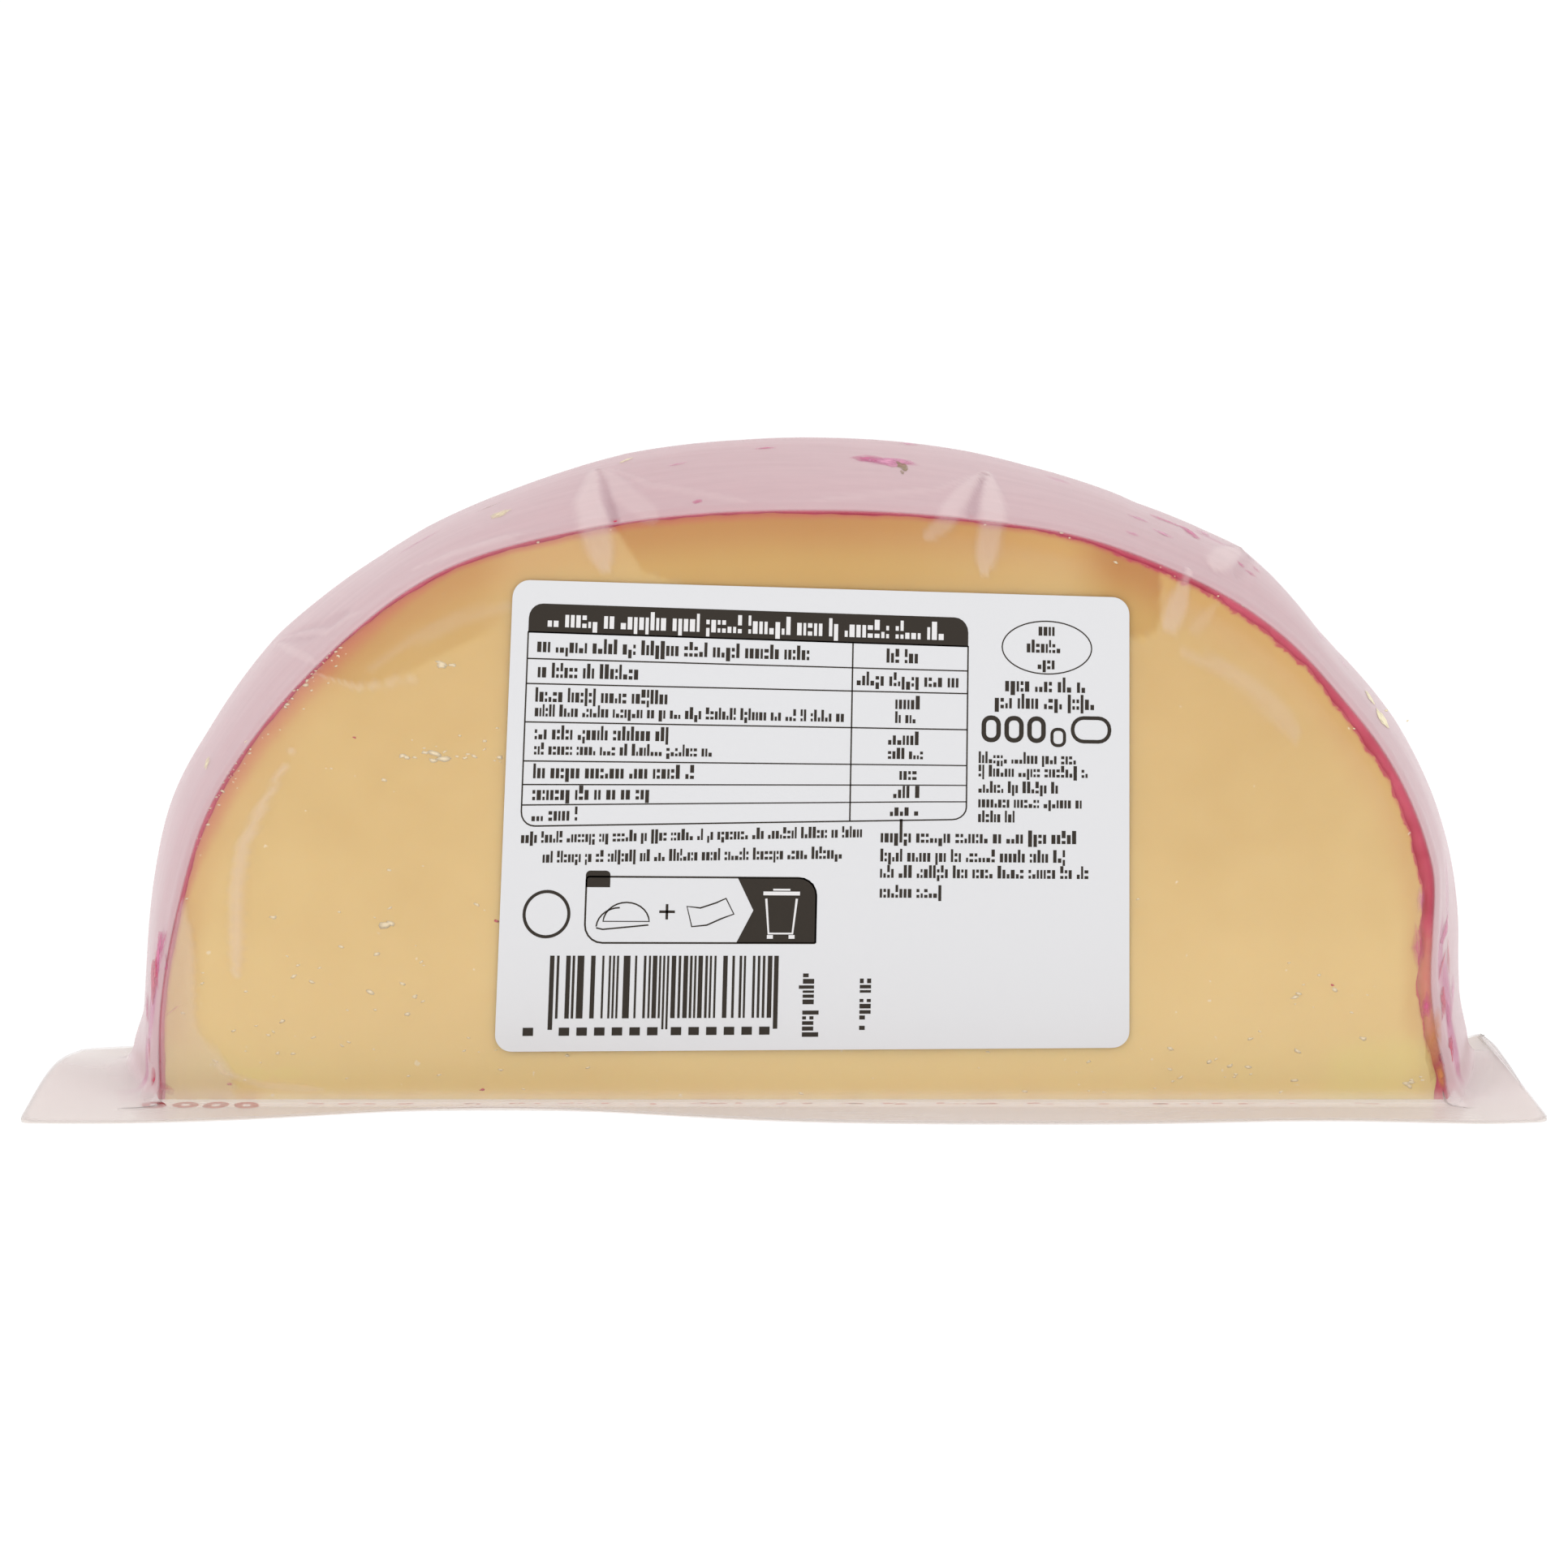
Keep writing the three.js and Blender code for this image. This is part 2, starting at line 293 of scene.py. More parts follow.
def whey_patches(x, z):
    """1 where whey has gathered and the paste is yellow-green: along the foot, most at its ends,
    with two short smears at the left."""
    foot = smooth(12, 2, z) * (0.35 + 0.65 * smooth(45, 80, np.abs(x - CENTRE_X)))
    left = smooth(1.3, 0.7, np.hypot((x + 80) / 7.0, (z - 3.5) / 4.5))
    right = smooth(1.3, 0.7, np.hypot((x - 81) / 9.0, (z - 3.5) / 5.5))
    smears = np.hypot((x + 71) / 1.9, (z - 3.9) / 0.8), np.hypot((x + 66.5) / 1.7, (z - 4.1) / 0.7)
    smear = smooth(1.4, 0.8, np.minimum(*smears))
    return np.clip(0.6 * foot + 0.5 * left + 0.6 * right + 0.9 * smear, 0, 1)


def red_bleed(along):
    """How far the wax's red has soaked into the front cut face, in mm: a soft glow down the upper
    left of the rim, a little left of the crown, and a thin line elsewhere."""
    upper_left = 2.6 * smooth(-112, -92, along) * smooth(-46, -66, along)
    near_crown = 0.5 * smooth(-50, -20, along) * smooth(10, -10, along)
    return 0.8 + upper_left + near_crown


def ragged_wax(along):
    """How far shreds of wax reach in over the front cut face, in mm: further on the right."""
    return 0.15 + 0.55 * smooth(15, 60, along)


def wire_wave(x, z):
    """The wire has left the cut faces a little wavy: how far each point is pushed back, in mm."""
    return 0.10 * np.sin(x / 11 + z / 23) * np.sin(z / 17 + 0.6)


paste_points, paste_level, paste_depth = paste_skin()
wave = wire_wave(paste_points[..., 0], paste_points[..., 2])
paste_points[..., 1] += wave * (1 - np.abs(paste_level[:, :1])) * smooth(0, 8, paste_depth)

# the foot: level rows that join the two faces, as many as lie across the rim
rows, columns = paste_depth.shape
foot_rows = paste_points[PASTE_STEPS[0]:rows - PASTE_STEPS[2], [0, -1]][::-1]
share = np.linspace(0, 1, columns)[None, :, None]
foot_points = foot_rows[:, :1] * (1 - share) + foot_rows[:, 1:] * share
foot_points[..., 2] = FOOT_Z
closed = np.concatenate([paste_points, foot_points, paste_points[:1]])
# mm inwards from the wax on both faces, and on the foot a place well clear of it
from_edge = np.maximum(paste_depth, -paste_depth - (BACK_Y - FRONT_Y))
foot_depth = np.full((len(foot_rows), columns), FOOT_FROM_WAX)
closed_depth = np.clip(np.concatenate([from_edge, foot_depth, from_edge[:1]]), 0, None)

paste = make_piece("cheese_slice", closed, grid_quads(len(closed), columns), {
    "from_edge": closed_depth,
    "wet": wet_patches(closed[..., 0], closed[..., 2]) * (closed[..., 1] < FRONT_Y + 0.5),
    "whey": whey_patches(closed[..., 0], closed[..., 2]),
    "bleed": np.broadcast_to(red_bleed(paste_along), closed_depth.shape),
    "ragged": np.broadcast_to(ragged_wax(paste_along), closed_depth.shape),
})
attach(paste, "root")
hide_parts("cheese_paste")


def cheese_material():
    """Semi-hard cheese: a moist fat surface that light enters a little, so edges look soft. The
    film that clings to it gives it a clear, glossy coat."""
    material, tree, shader = new_material(
        "cut_semi_hard_cheese", Roughness=0.42, IOR=1.45, Subsurface_Weight=0.18,
        Subsurface_Scale=0.004, Subsurface_Radius=(1.0, 0.55, 0.22),
        Coat_Weight=0.35, Coat_Roughness=0.16)
    place = add_node(tree, "ShaderNodeTexCoord").outputs["Object"]
    edge, wet, bleed, ragged, whey = (
        add_node(tree, "ShaderNodeAttribute", attribute_name=name).outputs["Fac"]
        for name in ("from_edge", "wet", "bleed", "ragged", "whey"))

    # clouds of two sizes, about 40 mm and 9 mm
    large = add_node(tree, "ShaderNodeTexNoise", {"Vector": place, "Scale": 25.0, "Detail": 3.0})
    fine = add_node(tree, "ShaderNodeTexNoise", {"Vector": place, "Scale": 110.0, "Detail": 5.0})
    clouds = add_node(tree, "ShaderNodeMath", {0: large.outputs["Fac"], 1: fine.outputs["Fac"]},
                      operation="ADD")
    level = add_node(tree, "ShaderNodeMapRange", {0: clouds.outputs[0], 1: 0.7, 2: 1.3})
    colour = add_node(tree, "ShaderNodeMix", {
        0: level.outputs[0], 6: linear("#D6B26A"), 7: linear("#DEBD78")}, data_type="RGBA")

    # painted light: the paste's colour is darker towards the crown, painted shade, and paler towards the
    # foot, painted light from the bright floor
    axes = add_node(tree, "ShaderNodeSeparateXYZ", {0: place})
    high = add_node(tree, "ShaderNodeMapRange", {0: axes.outputs[2], 1: 0.040, 2: 0.078, 3: 0.0, 4: 0.55})
    low = add_node(tree, "ShaderNodeMapRange", {0: axes.outputs[2], 1: 0.036, 2: 0.0, 3: 0.0, 4: 0.85})

    # wet patches are darker and redder, most of all close to the wax
    wet_much = add_node(tree, "ShaderNodeMath", {0: wet, 1: 0.72}, operation="MULTIPLY")
    brown = add_node(tree, "ShaderNodeMapRange", {0: edge, 1: 0.0, 2: 8.0, 3: 1.0, 4: 0.0},
                     interpolation_type="SMOOTHERSTEP")
    brown_much = add_node(tree, "ShaderNodeMapRange", {0: wet, 3: 0.42, 4: 0.85})
    brown = add_node(tree, "ShaderNodeMath", {0: brown.outputs[0], 1: brown_much.outputs[0]},
                     operation="MULTIPLY")
    brown_tone = add_node(tree, "ShaderNodeMix", {
        0: wet, 6: linear("#CE9350"), 7: linear("#B87434")}, data_type="RGBA")

    # the wax's red has soaked in, softly, and shreds of wax reach in, with sharp teeth
    glow = add_node(tree, "ShaderNodeMapRange", {0: edge, 1: 0.0, 2: bleed, 3: 0.62, 4: 0.0},
                    interpolation_type="SMOOTHSTEP")
    teeth = add_node(tree, "ShaderNodeTexNoise", {
        "Vector": place, "Scale": 850.0, "Detail": 5.0, "Roughness": 0.65})
    tooth = add_node(tree, "ShaderNodeMapRange", {0: teeth.outputs["Fac"], 1: 0.36, 2: 0.66})
    reach = add_node(tree, "ShaderNodeMath", {0: tooth.outputs[0], 1: ragged}, operation="MULTIPLY")
    inside = add_node(tree, "ShaderNodeMath", {0: reach.outputs[0], 1: edge}, operation="SUBTRACT")
    shred = add_node(tree, "ShaderNodeMapRange", {0: inside.outputs[0], 1: -0.05, 2: 0.2, 3: 0.0, 4: 0.85})

    # whey makes the foot yellower
    patch = add_node(tree, "ShaderNodeMapRange", {0: fine.outputs["Fac"], 1: 0.3, 2: 0.6, 3: 0.4, 4: 0.75})
    whey = add_node(tree, "ShaderNodeMath", {0: whey, 1: patch.outputs[0]}, operation="MULTIPLY")

    # small pale specks of fat, a millimetre or two across, more of them low down
    cells = add_node(tree, "ShaderNodeTexNoise", {"Vector": place, "Scale": 620.0, "Detail": 2.0})
    limit = add_node(tree, "ShaderNodeMapRange", {0: axes.outputs[2], 1: 0.0, 2: 0.06, 3: 0.70, 4: 0.76})
    above = add_node(tree, "ShaderNodeMath", {0: cells.outputs["Fac"], 1: limit.outputs[0]},
                     operation="SUBTRACT")
    speck = add_node(tree, "ShaderNodeMapRange", {0: above.outputs[0], 1: 0.0, 2: 0.03, 3: 0.0, 4: 0.7})

    # each of these lies over the ones before it
    for much, over in (
            # the first two are painted shade near the crown and painted floor light near the foot
            (high.outputs[0], linear("#CFA253")), (low.outputs[0], linear("#EDD090")),
            (wet_much.outputs[0], linear("#C2934A")), (brown.outputs[0], brown_tone.outputs[2]),
            (glow.outputs[0], linear("#CB5A50")), (shred.outputs[0], linear("#C22C50")),
            (whey.outputs[0], linear("#E6D384")), (speck.outputs[0], linear("#EBDDBE"))):
        colour = add_node(tree, "ShaderNodeMix", {0: much, 6: colour.outputs[2], 7: over},
                          data_type="RGBA")

    bump = add_node(tree, "ShaderNodeBump", {
        "Height": fine.outputs["Fac"], "Strength": 0.12, "Distance": 0.0004})
    tree.links.new(colour.outputs[2], shader.inputs["Base Color"])
    tree.links.new(bump.outputs[0], shader.inputs["Normal"])
    return material


paste.data.materials.append(cheese_material())

# ================================================================================================
# Wax rind
# The coat of red cheese wax that the ball was dipped in. The wire has cut through it, so on both
# faces it shows as a thin ragged line, and it runs down to the foot at both ends.
# ================================================================================================

WAX_RIM_STEPS = 26


def wax_shell():
    """The wax as a closed band: a row of points round its section at each station. The section
    goes across the outside of the rim and comes back along the paste."""
    outer = [(FRONT_Y, 0.25), (FRONT_Y + 0.1, 0.07), (FRONT_Y + 0.3, 0.0)]
    outer += [(y, 0.0) for y in np.linspace(FRONT_Y + 1, BACK_Y - 1, WAX_RIM_STEPS)]
    outer += [(BACK_Y - 0.3, 0.0), (BACK_Y - 0.1, 0.07), (BACK_Y, 0.25)]
    inner = [(y, wax_depth(paste_along)) for y in np.linspace(BACK_Y, FRONT_Y, 6)]
    rows = []
    for y, inset in outer + inner + outer[:1]:
        x, z = outline(paste_stations, y, 0.0)
        x_in, z_in = outline(paste_stations, y, -1.0)
        rows.append(np.stack([x + (x_in - x) * inset, np.full_like(x, y), z + (z_in - z) * inset], -1))
    return np.stack(rows)


wax_points = wax_shell()
ring = len(wax_points)
wax_faces = grid_quads(ring, columns).tolist()
wax_faces.append([r * columns for r in range(ring - 2, -1, -1)])
wax_faces.append([r * columns + columns - 1 for r in range(ring - 1)])
wax = make_piece("wax_coat", wax_points, wax_faces, {
    "along_rim": np.broadcast_to(paste_along, wax_points.shape[:2]),
    "across_rim": wax_points[..., 1] - FRONT_Y,
    "worn": np.broadcast_to(
        smooth(111, 118, paste_along) * smooth(132, 129, paste_along), wax_points.shape[:2]),
}, merge=0.0005)
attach(wax, "root")
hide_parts("wax_rind")


def wax_material():
    """Dipped cheese wax: soft, satin and slightly see-through, crimson, with brush-fine streaks
    along the rim, a fraction of a millimetre wide, where it was wiped."""
    material, tree, shader = new_material(
        "dipped_red_cheese_wax", Roughness=0.38, IOR=1.44, Subsurface_Weight=0.15,
        Subsurface_Scale=0.0015, Subsurface_Radius=(1.0, 0.3, 0.3), Coat_Weight=0.3, Coat_Roughness=0.15)
    along, across, worn = (
        add_node(tree, "ShaderNodeAttribute", attribute_name=name).outputs["Fac"]
        for name in ("along_rim", "across_rim", "worn"))
    slow = add_node(tree, "ShaderNodeMath", {0: along, 1: 0.06}, operation="MULTIPLY")
    fast = add_node(tree, "ShaderNodeMath", {0: across, 1: 1.6}, operation="MULTIPLY")
    lane = add_node(tree, "ShaderNodeCombineXYZ", {0: slow.outputs[0], 1: fast.outputs[0]})
    streaks = add_node(tree, "ShaderNodeTexNoise", {"Vector": lane.outputs[0], "Scale": 1.0, "Detail": 4.0})
    place = add_node(tree, "ShaderNodeTexCoord").outputs["Object"]
    blotch = add_node(tree, "ShaderNodeTexNoise", {"Vector": place, "Scale": 260.0, "Detail": 4.0})
    both = add_node(tree, "ShaderNodeMath", {0: streaks.outputs["Fac"], 1: blotch.outputs["Fac"]},
                    operation="ADD")
    level = add_node(tree, "ShaderNodeMapRange", {0: both.outputs[0], 1: 0.75, 2: 1.25})
    colour = add_node(tree, "ShaderNodeMix", {
        0: level.outputs[0], 6: linear("#BA1C44"), 7: linear("#D44A68")}, data_type="RGBA")
    # low on the right the wax has worn thin, and the paste shows through
    thin = add_node(tree, "ShaderNodeMapRange", {0: blotch.outputs["Fac"], 1: 0.35, 2: 0.6, 3: 0.5, 4: 0.9})
    worn = add_node(tree, "ShaderNodeMath", {0: worn, 1: thin.outputs[0]}, operation="MULTIPLY")
    colour = add_node(tree, "ShaderNodeMix", {
        0: worn.outputs[0], 6: colour.outputs[2], 7: linear("#DB9474")}, data_type="RGBA")
    bump = add_node(tree, "ShaderNodeBump", {
        "Height": both.outputs[0], "Strength": 0.3, "Distance": 0.0003})
    tree.links.new(colour.outputs[2], shader.inputs["Base Color"])
    tree.links.new(bump.outputs[0], shader.inputs["Normal"])
    return material


wax.data.materials.append(wax_material())

# ================================================================================================
# Formed film
# Clear packaging film, warmed and drawn over the slice, then sucked tight. It clings to the cut
# faces, where it is almost clear, and stands off the rim, where it is hazy. It gathers in darts
# at the rim, and spreads at the foot into the flange that is sealed to the base film.
# ================================================================================================

FILM_WALL = 0.10
FILM_OFF_FACE, FILM_OFF_RIM = 0.35, 0.75
FILM_EDGE = 0.95
FILLET, SIDE_FILLET = 2.4, 3.8
RIM_SPAN = 22.0  # the rim, from front to back
END_DRAFT = 0.6  # how far both ends lean out towards the foot
SKIRT = 1.7  # how far the back of the left end is drawn out above the foot
FLANGE_Z = 0.30
FLANGE_CORNER = 1.5
FLANGE_STEPS = 11
FILM_STEPS = (58, 28, 16)
FRONT_HAZE, BACK_HAZE, STRIP_HAZE, RIM_HAZE, FLANGE_HAZE = 0.13, 0.16, 0.46, 0.82, 0.42

half_length, half_depth = film_high[0], film_high[1]

# the pleats that gather at the rim, over the rim and onto the front face: mm along the rim from
# the crown and mm inwards from the front edge at points down each, its half width in mm, and how
# pale it is, partly from real haze and partly as a painted highlight (a groove is darkened with
# painted shade, so below 0)
PLEATS = [
    ([(-31.5, -18.1), (-29.9, -6.4), (-28.1, -0.7), (-27.8, 1.2), (-27.3, 5.6)], 2.1, 0.40),
    ([(-31.2, -17.5), (-27.4, -5.3), (-25.2, -0.3), (-24.4, 1.2)], 0.8, -0.50),
    ([(-31.0, -17.2), (-25.4, -5.9), (-22.0, -1.8), (-19.8, 0.2)], 1.6, 0.20),
    ([(-30.5, -17.0), (-22.1, -7.2), (-15.2, -3.8), (-7.8, -0.9)], 0.7, 0.12),
    ([(26.3, -12.9), (23.1, -7.6), (20.2, -2.8), (18.2, 0.5), (15.4, 3.0)], 1.25, 0.32),
    ([(26.2, -12.2), (23.9, -6.3), (21.8, -1.0), (21.0, 1.0)], 0.8, -0.34),
    ([(26.6, -13.0), (25.6, -6.5), (24.7, -1.9), (24.3, 0.6), (24.1, 6.6)], 1.7, 0.40),
    ([(26.0, -12.6), (18.8, -5.4), (11.6, -3.1), (1.0, -1.0)], 0.7, 0.12),
    ([(62.2, -19.8), (58.8, -12.0), (55.2, -4.0)], 1.6, 0.42),
    ([(63.4, -18.0), (61.0, -12.0), (59.0, -5.5)], 0.8, -0.20),
    ([(51.2, -1.2), (51.2, 1.5), (51.0, 4.2), (50.6, 7.6)], 1.5, 0.38),
    ([(56.5, 0.8), (55.2, 3.5), (53.8, 6.5)], 0.9, 0.16),
    ([(-78.7, -19.7), (-67.7, -4.4), (-62.0, -2.4)], 0.6, 0.20),
    ([(-78.7, -19.7), (-74.0, -8.0), (-69.7, 0.4)], 0.5, 0.20),
    ([(-77.5, -18.0), (-70.0, -7.5), (-64.0, -4.6)], 1.8, -0.22),
    ([(-54.0, -3.4), (-46.0, -1.6), (-38.0, -0.9)], 0.9, 0.20),
]
# long pale folds on the front face: x and z in mm along each, its half width, and how pale it is,
# the paleness partly real haze and partly a painted highlight
FOLDS = [
    ([(-64.6, 48.6), (-66.7, 44.6), (-69.4, 39.8), (-71.8, 34.9), (-72.8, 29.0), (-73.0, 17.0)], 1.0, 0.30),
    ([(50.3, 61.0), (54.5, 60.2), (58.5, 58.4), (62.0, 56.0), (65.0, 53.2), (68.2, 48.9)], 1.5, 0.18),
    ([(-55.5, 57.5), (-49.3, 62.3), (-43.1, 65.0), (-35.5, 67.2)], 1.1, 0.13),
    ([(-61.8, 58.0), (-58.7, 57.0), (-56.2, 56.2), (-53.5, 56.5), (-48.0, 57.6)], 0.45, 0.22),
    ([(-77.9, 7.6), (-75.0, 4.4), (-70.0, 2.6), (-62.0, 2.0)], 0.5, 0.20),
]


def near_line(x, z, line):
    """How far each point is from a line of straight stretches, and how far along it, 0 to 1."""
    ends = np.array(line)
    steps = np.hypot(*(ends[1:] - ends[:-1]).T)
    starts = np.concatenate([[0], np.cumsum(steps)])
    best, share = np.full(x.shape, np.inf), np.zeros(x.shape)
    for (ax, az), (bx, bz), step, start in zip(ends[:-1], ends[1:], steps, starts):
        u = np.clip(((x - ax) * (bx - ax) + (z - az) * (bz - az)) / step ** 2, 0, 1)
        gap = np.hypot(x - ax - u * (bx - ax), z - az - u * (bz - az))
        closer = gap < best
        best = np.where(closer, gap, best)
        share = np.where(closer, (start + u * step) / starts[-1], share)
    return best, share


def leaf(across, up, line, half_width):
    """A leaf shape round a line, pointed at its start and blunt at its end: 1 inside and 0
    outside, with a soft edge."""
    gap, share = near_line(across, up, line)
    rise = (np.clip(share, 0, 0.5) / 0.5) ** 0.75
    fall = np.sqrt(np.clip(1 - (np.clip(share - 0.8, 0, 1) / 0.2) ** 2, 0, 1))
    width = np.maximum(half_width * rise * fall, 0.05)
    return smooth(1.3, 0.5, gap / width)


def towards_back(y):
    """0 along the flange's front edge, 1 along its back edge, and even between."""
    return np.clip(0.5 + y / (2 * half_depth), 0, 1)


def flange_lift(x, y):
    """How far the flange lifts off the surface, in mm, at a point outside the slice's foot: a low
    wave along the front lip, an arch at each end, a slight curl along the back, and a right end
    that rises towards the back."""
    foot_half = FRONT_OUTLINE[0] + 3
    front = np.clip((FRONT_Y - FILLET - y) / (half_depth + FRONT_Y - FILLET), 0, 1)
    back = np.clip((y - BACK_Y - FILLET) / (half_depth - BACK_Y - FILLET), 0, 1)
    left = np.clip((CENTRE_X - foot_half - x) / (half_length + CENTRE_X - foot_half), 0, 1)
    right = np.clip((x - CENTRE_X - foot_half) / (half_length - CENTRE_X - foot_half), 0, 1)
    lip = 2.1 * hump(x, -38, 30) + 0.45 * hump(x, 70, 17) + 0.10
    arch = np.cos(np.pi * y / (2 * half_depth)) ** 1.2
    lift = lip * front ** 1.5 + (2.3 * arch + 0.15) * left ** 1.3
    lift = lift + (0.5 * arch + 0.35 + 2.3 * towards_back(y)) * right ** 1.2
    return lift + (0.5 + 0.4 * np.sin(x / 19.0)) * back ** 1.5 * (1 - left) * (1 - right)


def flange_draw(x, y):
    """How far the right end of the flange is drawn in, in mm: nothing at the film's foot, and more
    outwards and towards the back, so that it ends on a slant."""
    foot_end = CENTRE_X + BACK_OUTLINE[0] + SIDE_FILLET + 3.0
    outwards = np.clip((x - foot_end) / (half_length - foot_end), 0, 1)
    return 1.3 * outwards * towards_back(y)


def film_surface():
    """The film over the slice: the slice's skin, standing off it by a varying amount, then
    flared at its foot along a quarter circle. Returns the points and, for each of them, which way
    is out, its depth, its distance along the rim, its haze and its tint."""
    stations, along = spread_stations(344, [line[-2][0] for line, _, _ in PLEATS], 1.0, 4.0)
    skin, level, depth = slice_skin(
        stations, along, FILM_OFF_FACE, FILM_OFF_FACE, FILM_EDGE, FILM_STEPS, foot_z=FLANGE_Z)
    along = np.broadcast_to(along, depth.shape)
    x, y, z = skin[..., 0], skin[..., 1], skin[..., 2]

    # how far onto the rim each point is: 0 on the faces, 1 on the rim
    flat = np.abs(level[:, :1]) < 0.01
    on_front = np.broadcast_to(flat & (level[:, 1:] < 0), depth.shape)
    on_back = np.broadcast_to(flat & (level[:, 1:] > 0), depth.shape)
    # the wax's cut edge shows clear through the film, and the haze starts just past it
    on_rim = np.where(on_front | on_back, 0.0, 1.0) * smooth(0.03, 0.12, -depth)

    haze = np.where(on_front, FRONT_HAZE, BACK_HAZE)
    lift = np.zeros_like(depth)

    # the loose strips down both ends of the front face, with rounded lower corners
    left_strip = smooth(0.5, -0.5, x + 78.5 - 5.0 * smooth(12, 3, z) + 6.0 * smooth(20, 45, z))
    left_strip *= smooth(46, 30, z)
    right_strip = 0.4 * smooth(-1.6, 1.6, x - 82.8 - 0.06 * (30 - z)) * smooth(48, 24, z)
    strips = np.where(on_front, np.maximum(left_strip, right_strip), 0)
    haze = np.maximum(haze, STRIP_HAZE * strips)
    lift += 0.25 * strips

    # wet patches, and the stretch along the wax on the right, where the film lies close and is clear
    wet = np.where(on_front, wet_patches(x, z), 0)
    wet = np.maximum(wet, 0.8 * np.where(on_front, smooth(4.0, 1.5, depth), 0) * smooth(-20, 10, along))
    haze *= 1 - 0.9 * wet
    lift -= 0.15 * wet

    # the rim: hazy all over, with a few places where the film touches the wax
    rim_haze = RIM_HAZE + 0.03 * np.sin(along / 13.0)
    lift += (FILM_OFF_RIM - FILM_OFF_FACE) * on_rim * smooth(0.5, 7, -depth)
    pink = np.zeros_like(depth)
    for place, across, long, wide, much in TOUCHES:
        spot = smooth(0.25, 0.6, hump(along, place, long) * hump(-depth, across, wide))
        rim_haze -= 0.25 * much * spot
        pink = np.maximum(pink, 1.6 * much * spot)
    haze = haze * (1 - on_rim) + rim_haze * on_rim

    # the pleats and folds stand up from the film round them and are paler, partly from real haze and
    # partly as a painted highlight; grooves are darkened with painted shade
    pale = np.zeros_like(depth)
    for line, half_width, much in PLEATS:
        shape = np.where(on_back, 0, leaf(along, depth, line, half_width))
        pale += much * shape
        haze += np.clip(much, 0, 1) * 0.75 * shape * (1 - haze)
        lift += 0.6 * much * shape
    for line, half_width, much in FOLDS:
        shape = np.where(on_front, leaf(x, z, line, half_width), 0)
        pale += much * shape
        haze += much * shape * (1 - haze)
        lift += 0.6 * much * shape

    # loose folds on the back face, which run down from the rim
    back_folds = 0.5 + 0.5 * np.sin(along / 4.7 + 1.5 * np.sin(along / 11.0) + (90 - z) / 40)
    down_back = -depth - RIM_SPAN
    back_folds = smooth(0.72, 0.98, back_folds) * smooth(0, 6, down_back) * smooth(26, 12, down_back)
    haze = np.where(on_back, haze + 0.12 * back_folds * (1 - haze), haze)
    lift += np.where(on_back, 0.25 * back_folds, 0)

    # straight facets between the darts, where the film is drawn tight like a tent
    facet = np.zeros_like(depth)
    for place, reach, height in TENTS:
        facet += height * np.clip(1 - np.abs(along - place) / reach, 0, 1)
    lift += facet * on_rim * smooth(0, 18, -depth)

    # lift along the skin's own normal, worked out from its neighbours
    by_row, by_column = np.gradient(skin, axis=0), np.gradient(skin, axis=1)
    normal = np.cross(by_row, by_column)
    size = np.linalg.norm(normal, axis=-1, keepdims=True)
    side = np.sign(x - CENTRE_X)[..., None]
    sideways = np.stack(np.broadcast_arrays(level[:, :1] * side[..., 0], level[:, 1:], 0 * depth), -1)
    normal = np.where(size > 1e-3, normal / np.maximum(size, 1e-9), sideways)
    flip = np.sign((normal * sideways).sum(-1, keepdims=True) + 1e-9)
    outward = np.stack([x - CENTRE_X, np.zeros_like(x), z - FOOT_Z], -1)
    flip = np.where(on_rim[..., None] > 0, np.sign((normal * outward).sum(-1, keepdims=True)), flip)
    points = skin + normal * flip * (lift * smooth(0, 6, z))[..., None]

    # the fillet at the foot, and a slight draft above it
    rise = z - FLANGE_Z
    fillet = FILLET + (SIDE_FILLET - FILLET) * np.abs(level[:, :1])
    drop = np.clip(fillet - rise, 0, fillet)
    flare = fillet - np.sqrt(np.maximum(fillet ** 2 - drop ** 2, 0))
    flare = flare + END_DRAFT * smooth(18, 3, rise) * np.abs(level[:, :1])
    # towards the back the left end is drawn out further up, like the skirt of a tent
    flare = flare + SKIRT * smooth(10, 2, rise) * smooth(-8, 8, y) * (x < 0) * np.abs(level[:, :1])
    points = points + sideways * flare[..., None]
    points[..., 2] += flange_lift(points[..., 0], points[..., 1]) * smooth(7.0, 0.0, rise)
    foot = smooth(2.2, 0.4, rise)
    haze = haze + (FLANGE_HAZE - haze) * foot * 0.8

    at_edge = np.maximum(on_rim, np.where(on_back, 0, smooth(1.0, 0.0, np.maximum(depth, 0))))
    colour = FACE_TINT
    # pale pleats and folds are tinted lighter, partly real haze and partly painted highlight, and grooves
    # darker, painted shade
    for much, over in (
            (at_edge, RIM_TINT), (np.clip(pink * on_rim, 0, 0.9), TOUCH_TINT),
            (np.clip(pale, 0, 0.9), PALE_HAZE_AND_HIGHLIGHT_TINT), (np.clip(-pale, 0, 0.9), GROOVE_PAINTED_SHADE_TINT),
            (foot * 0.8, FLANGE_TINT)):
        colour = colour + (over - colour) * much[..., None]
    return points, normal * flip, depth, along, haze, colour


# where the film touches the wax: mm along the rim, mm across it, half length, half width, clearness
TOUCHES = [
    (12.5, 12.6, 4.2, 1.0, 0.50), (37.0, 17.5, 1.6, 0.8, 0.20), (58.0, 16.5, 3.0, 0.7, 0.22),
    (-122.0, 2.0, 9.0, 1.5, 0.45), (-133.0, 3.5, 4.0, 1.2, 0.40), (118.0, 3.0, 5.0, 1.6, 0.35),
    (125.0, 5.0, 5.0, 2.2, 0.40), (131.0, 3.5, 4.0, 2.2, 0.45), (112.0, 8.0, 5.0, 2.0, 0.20),
]
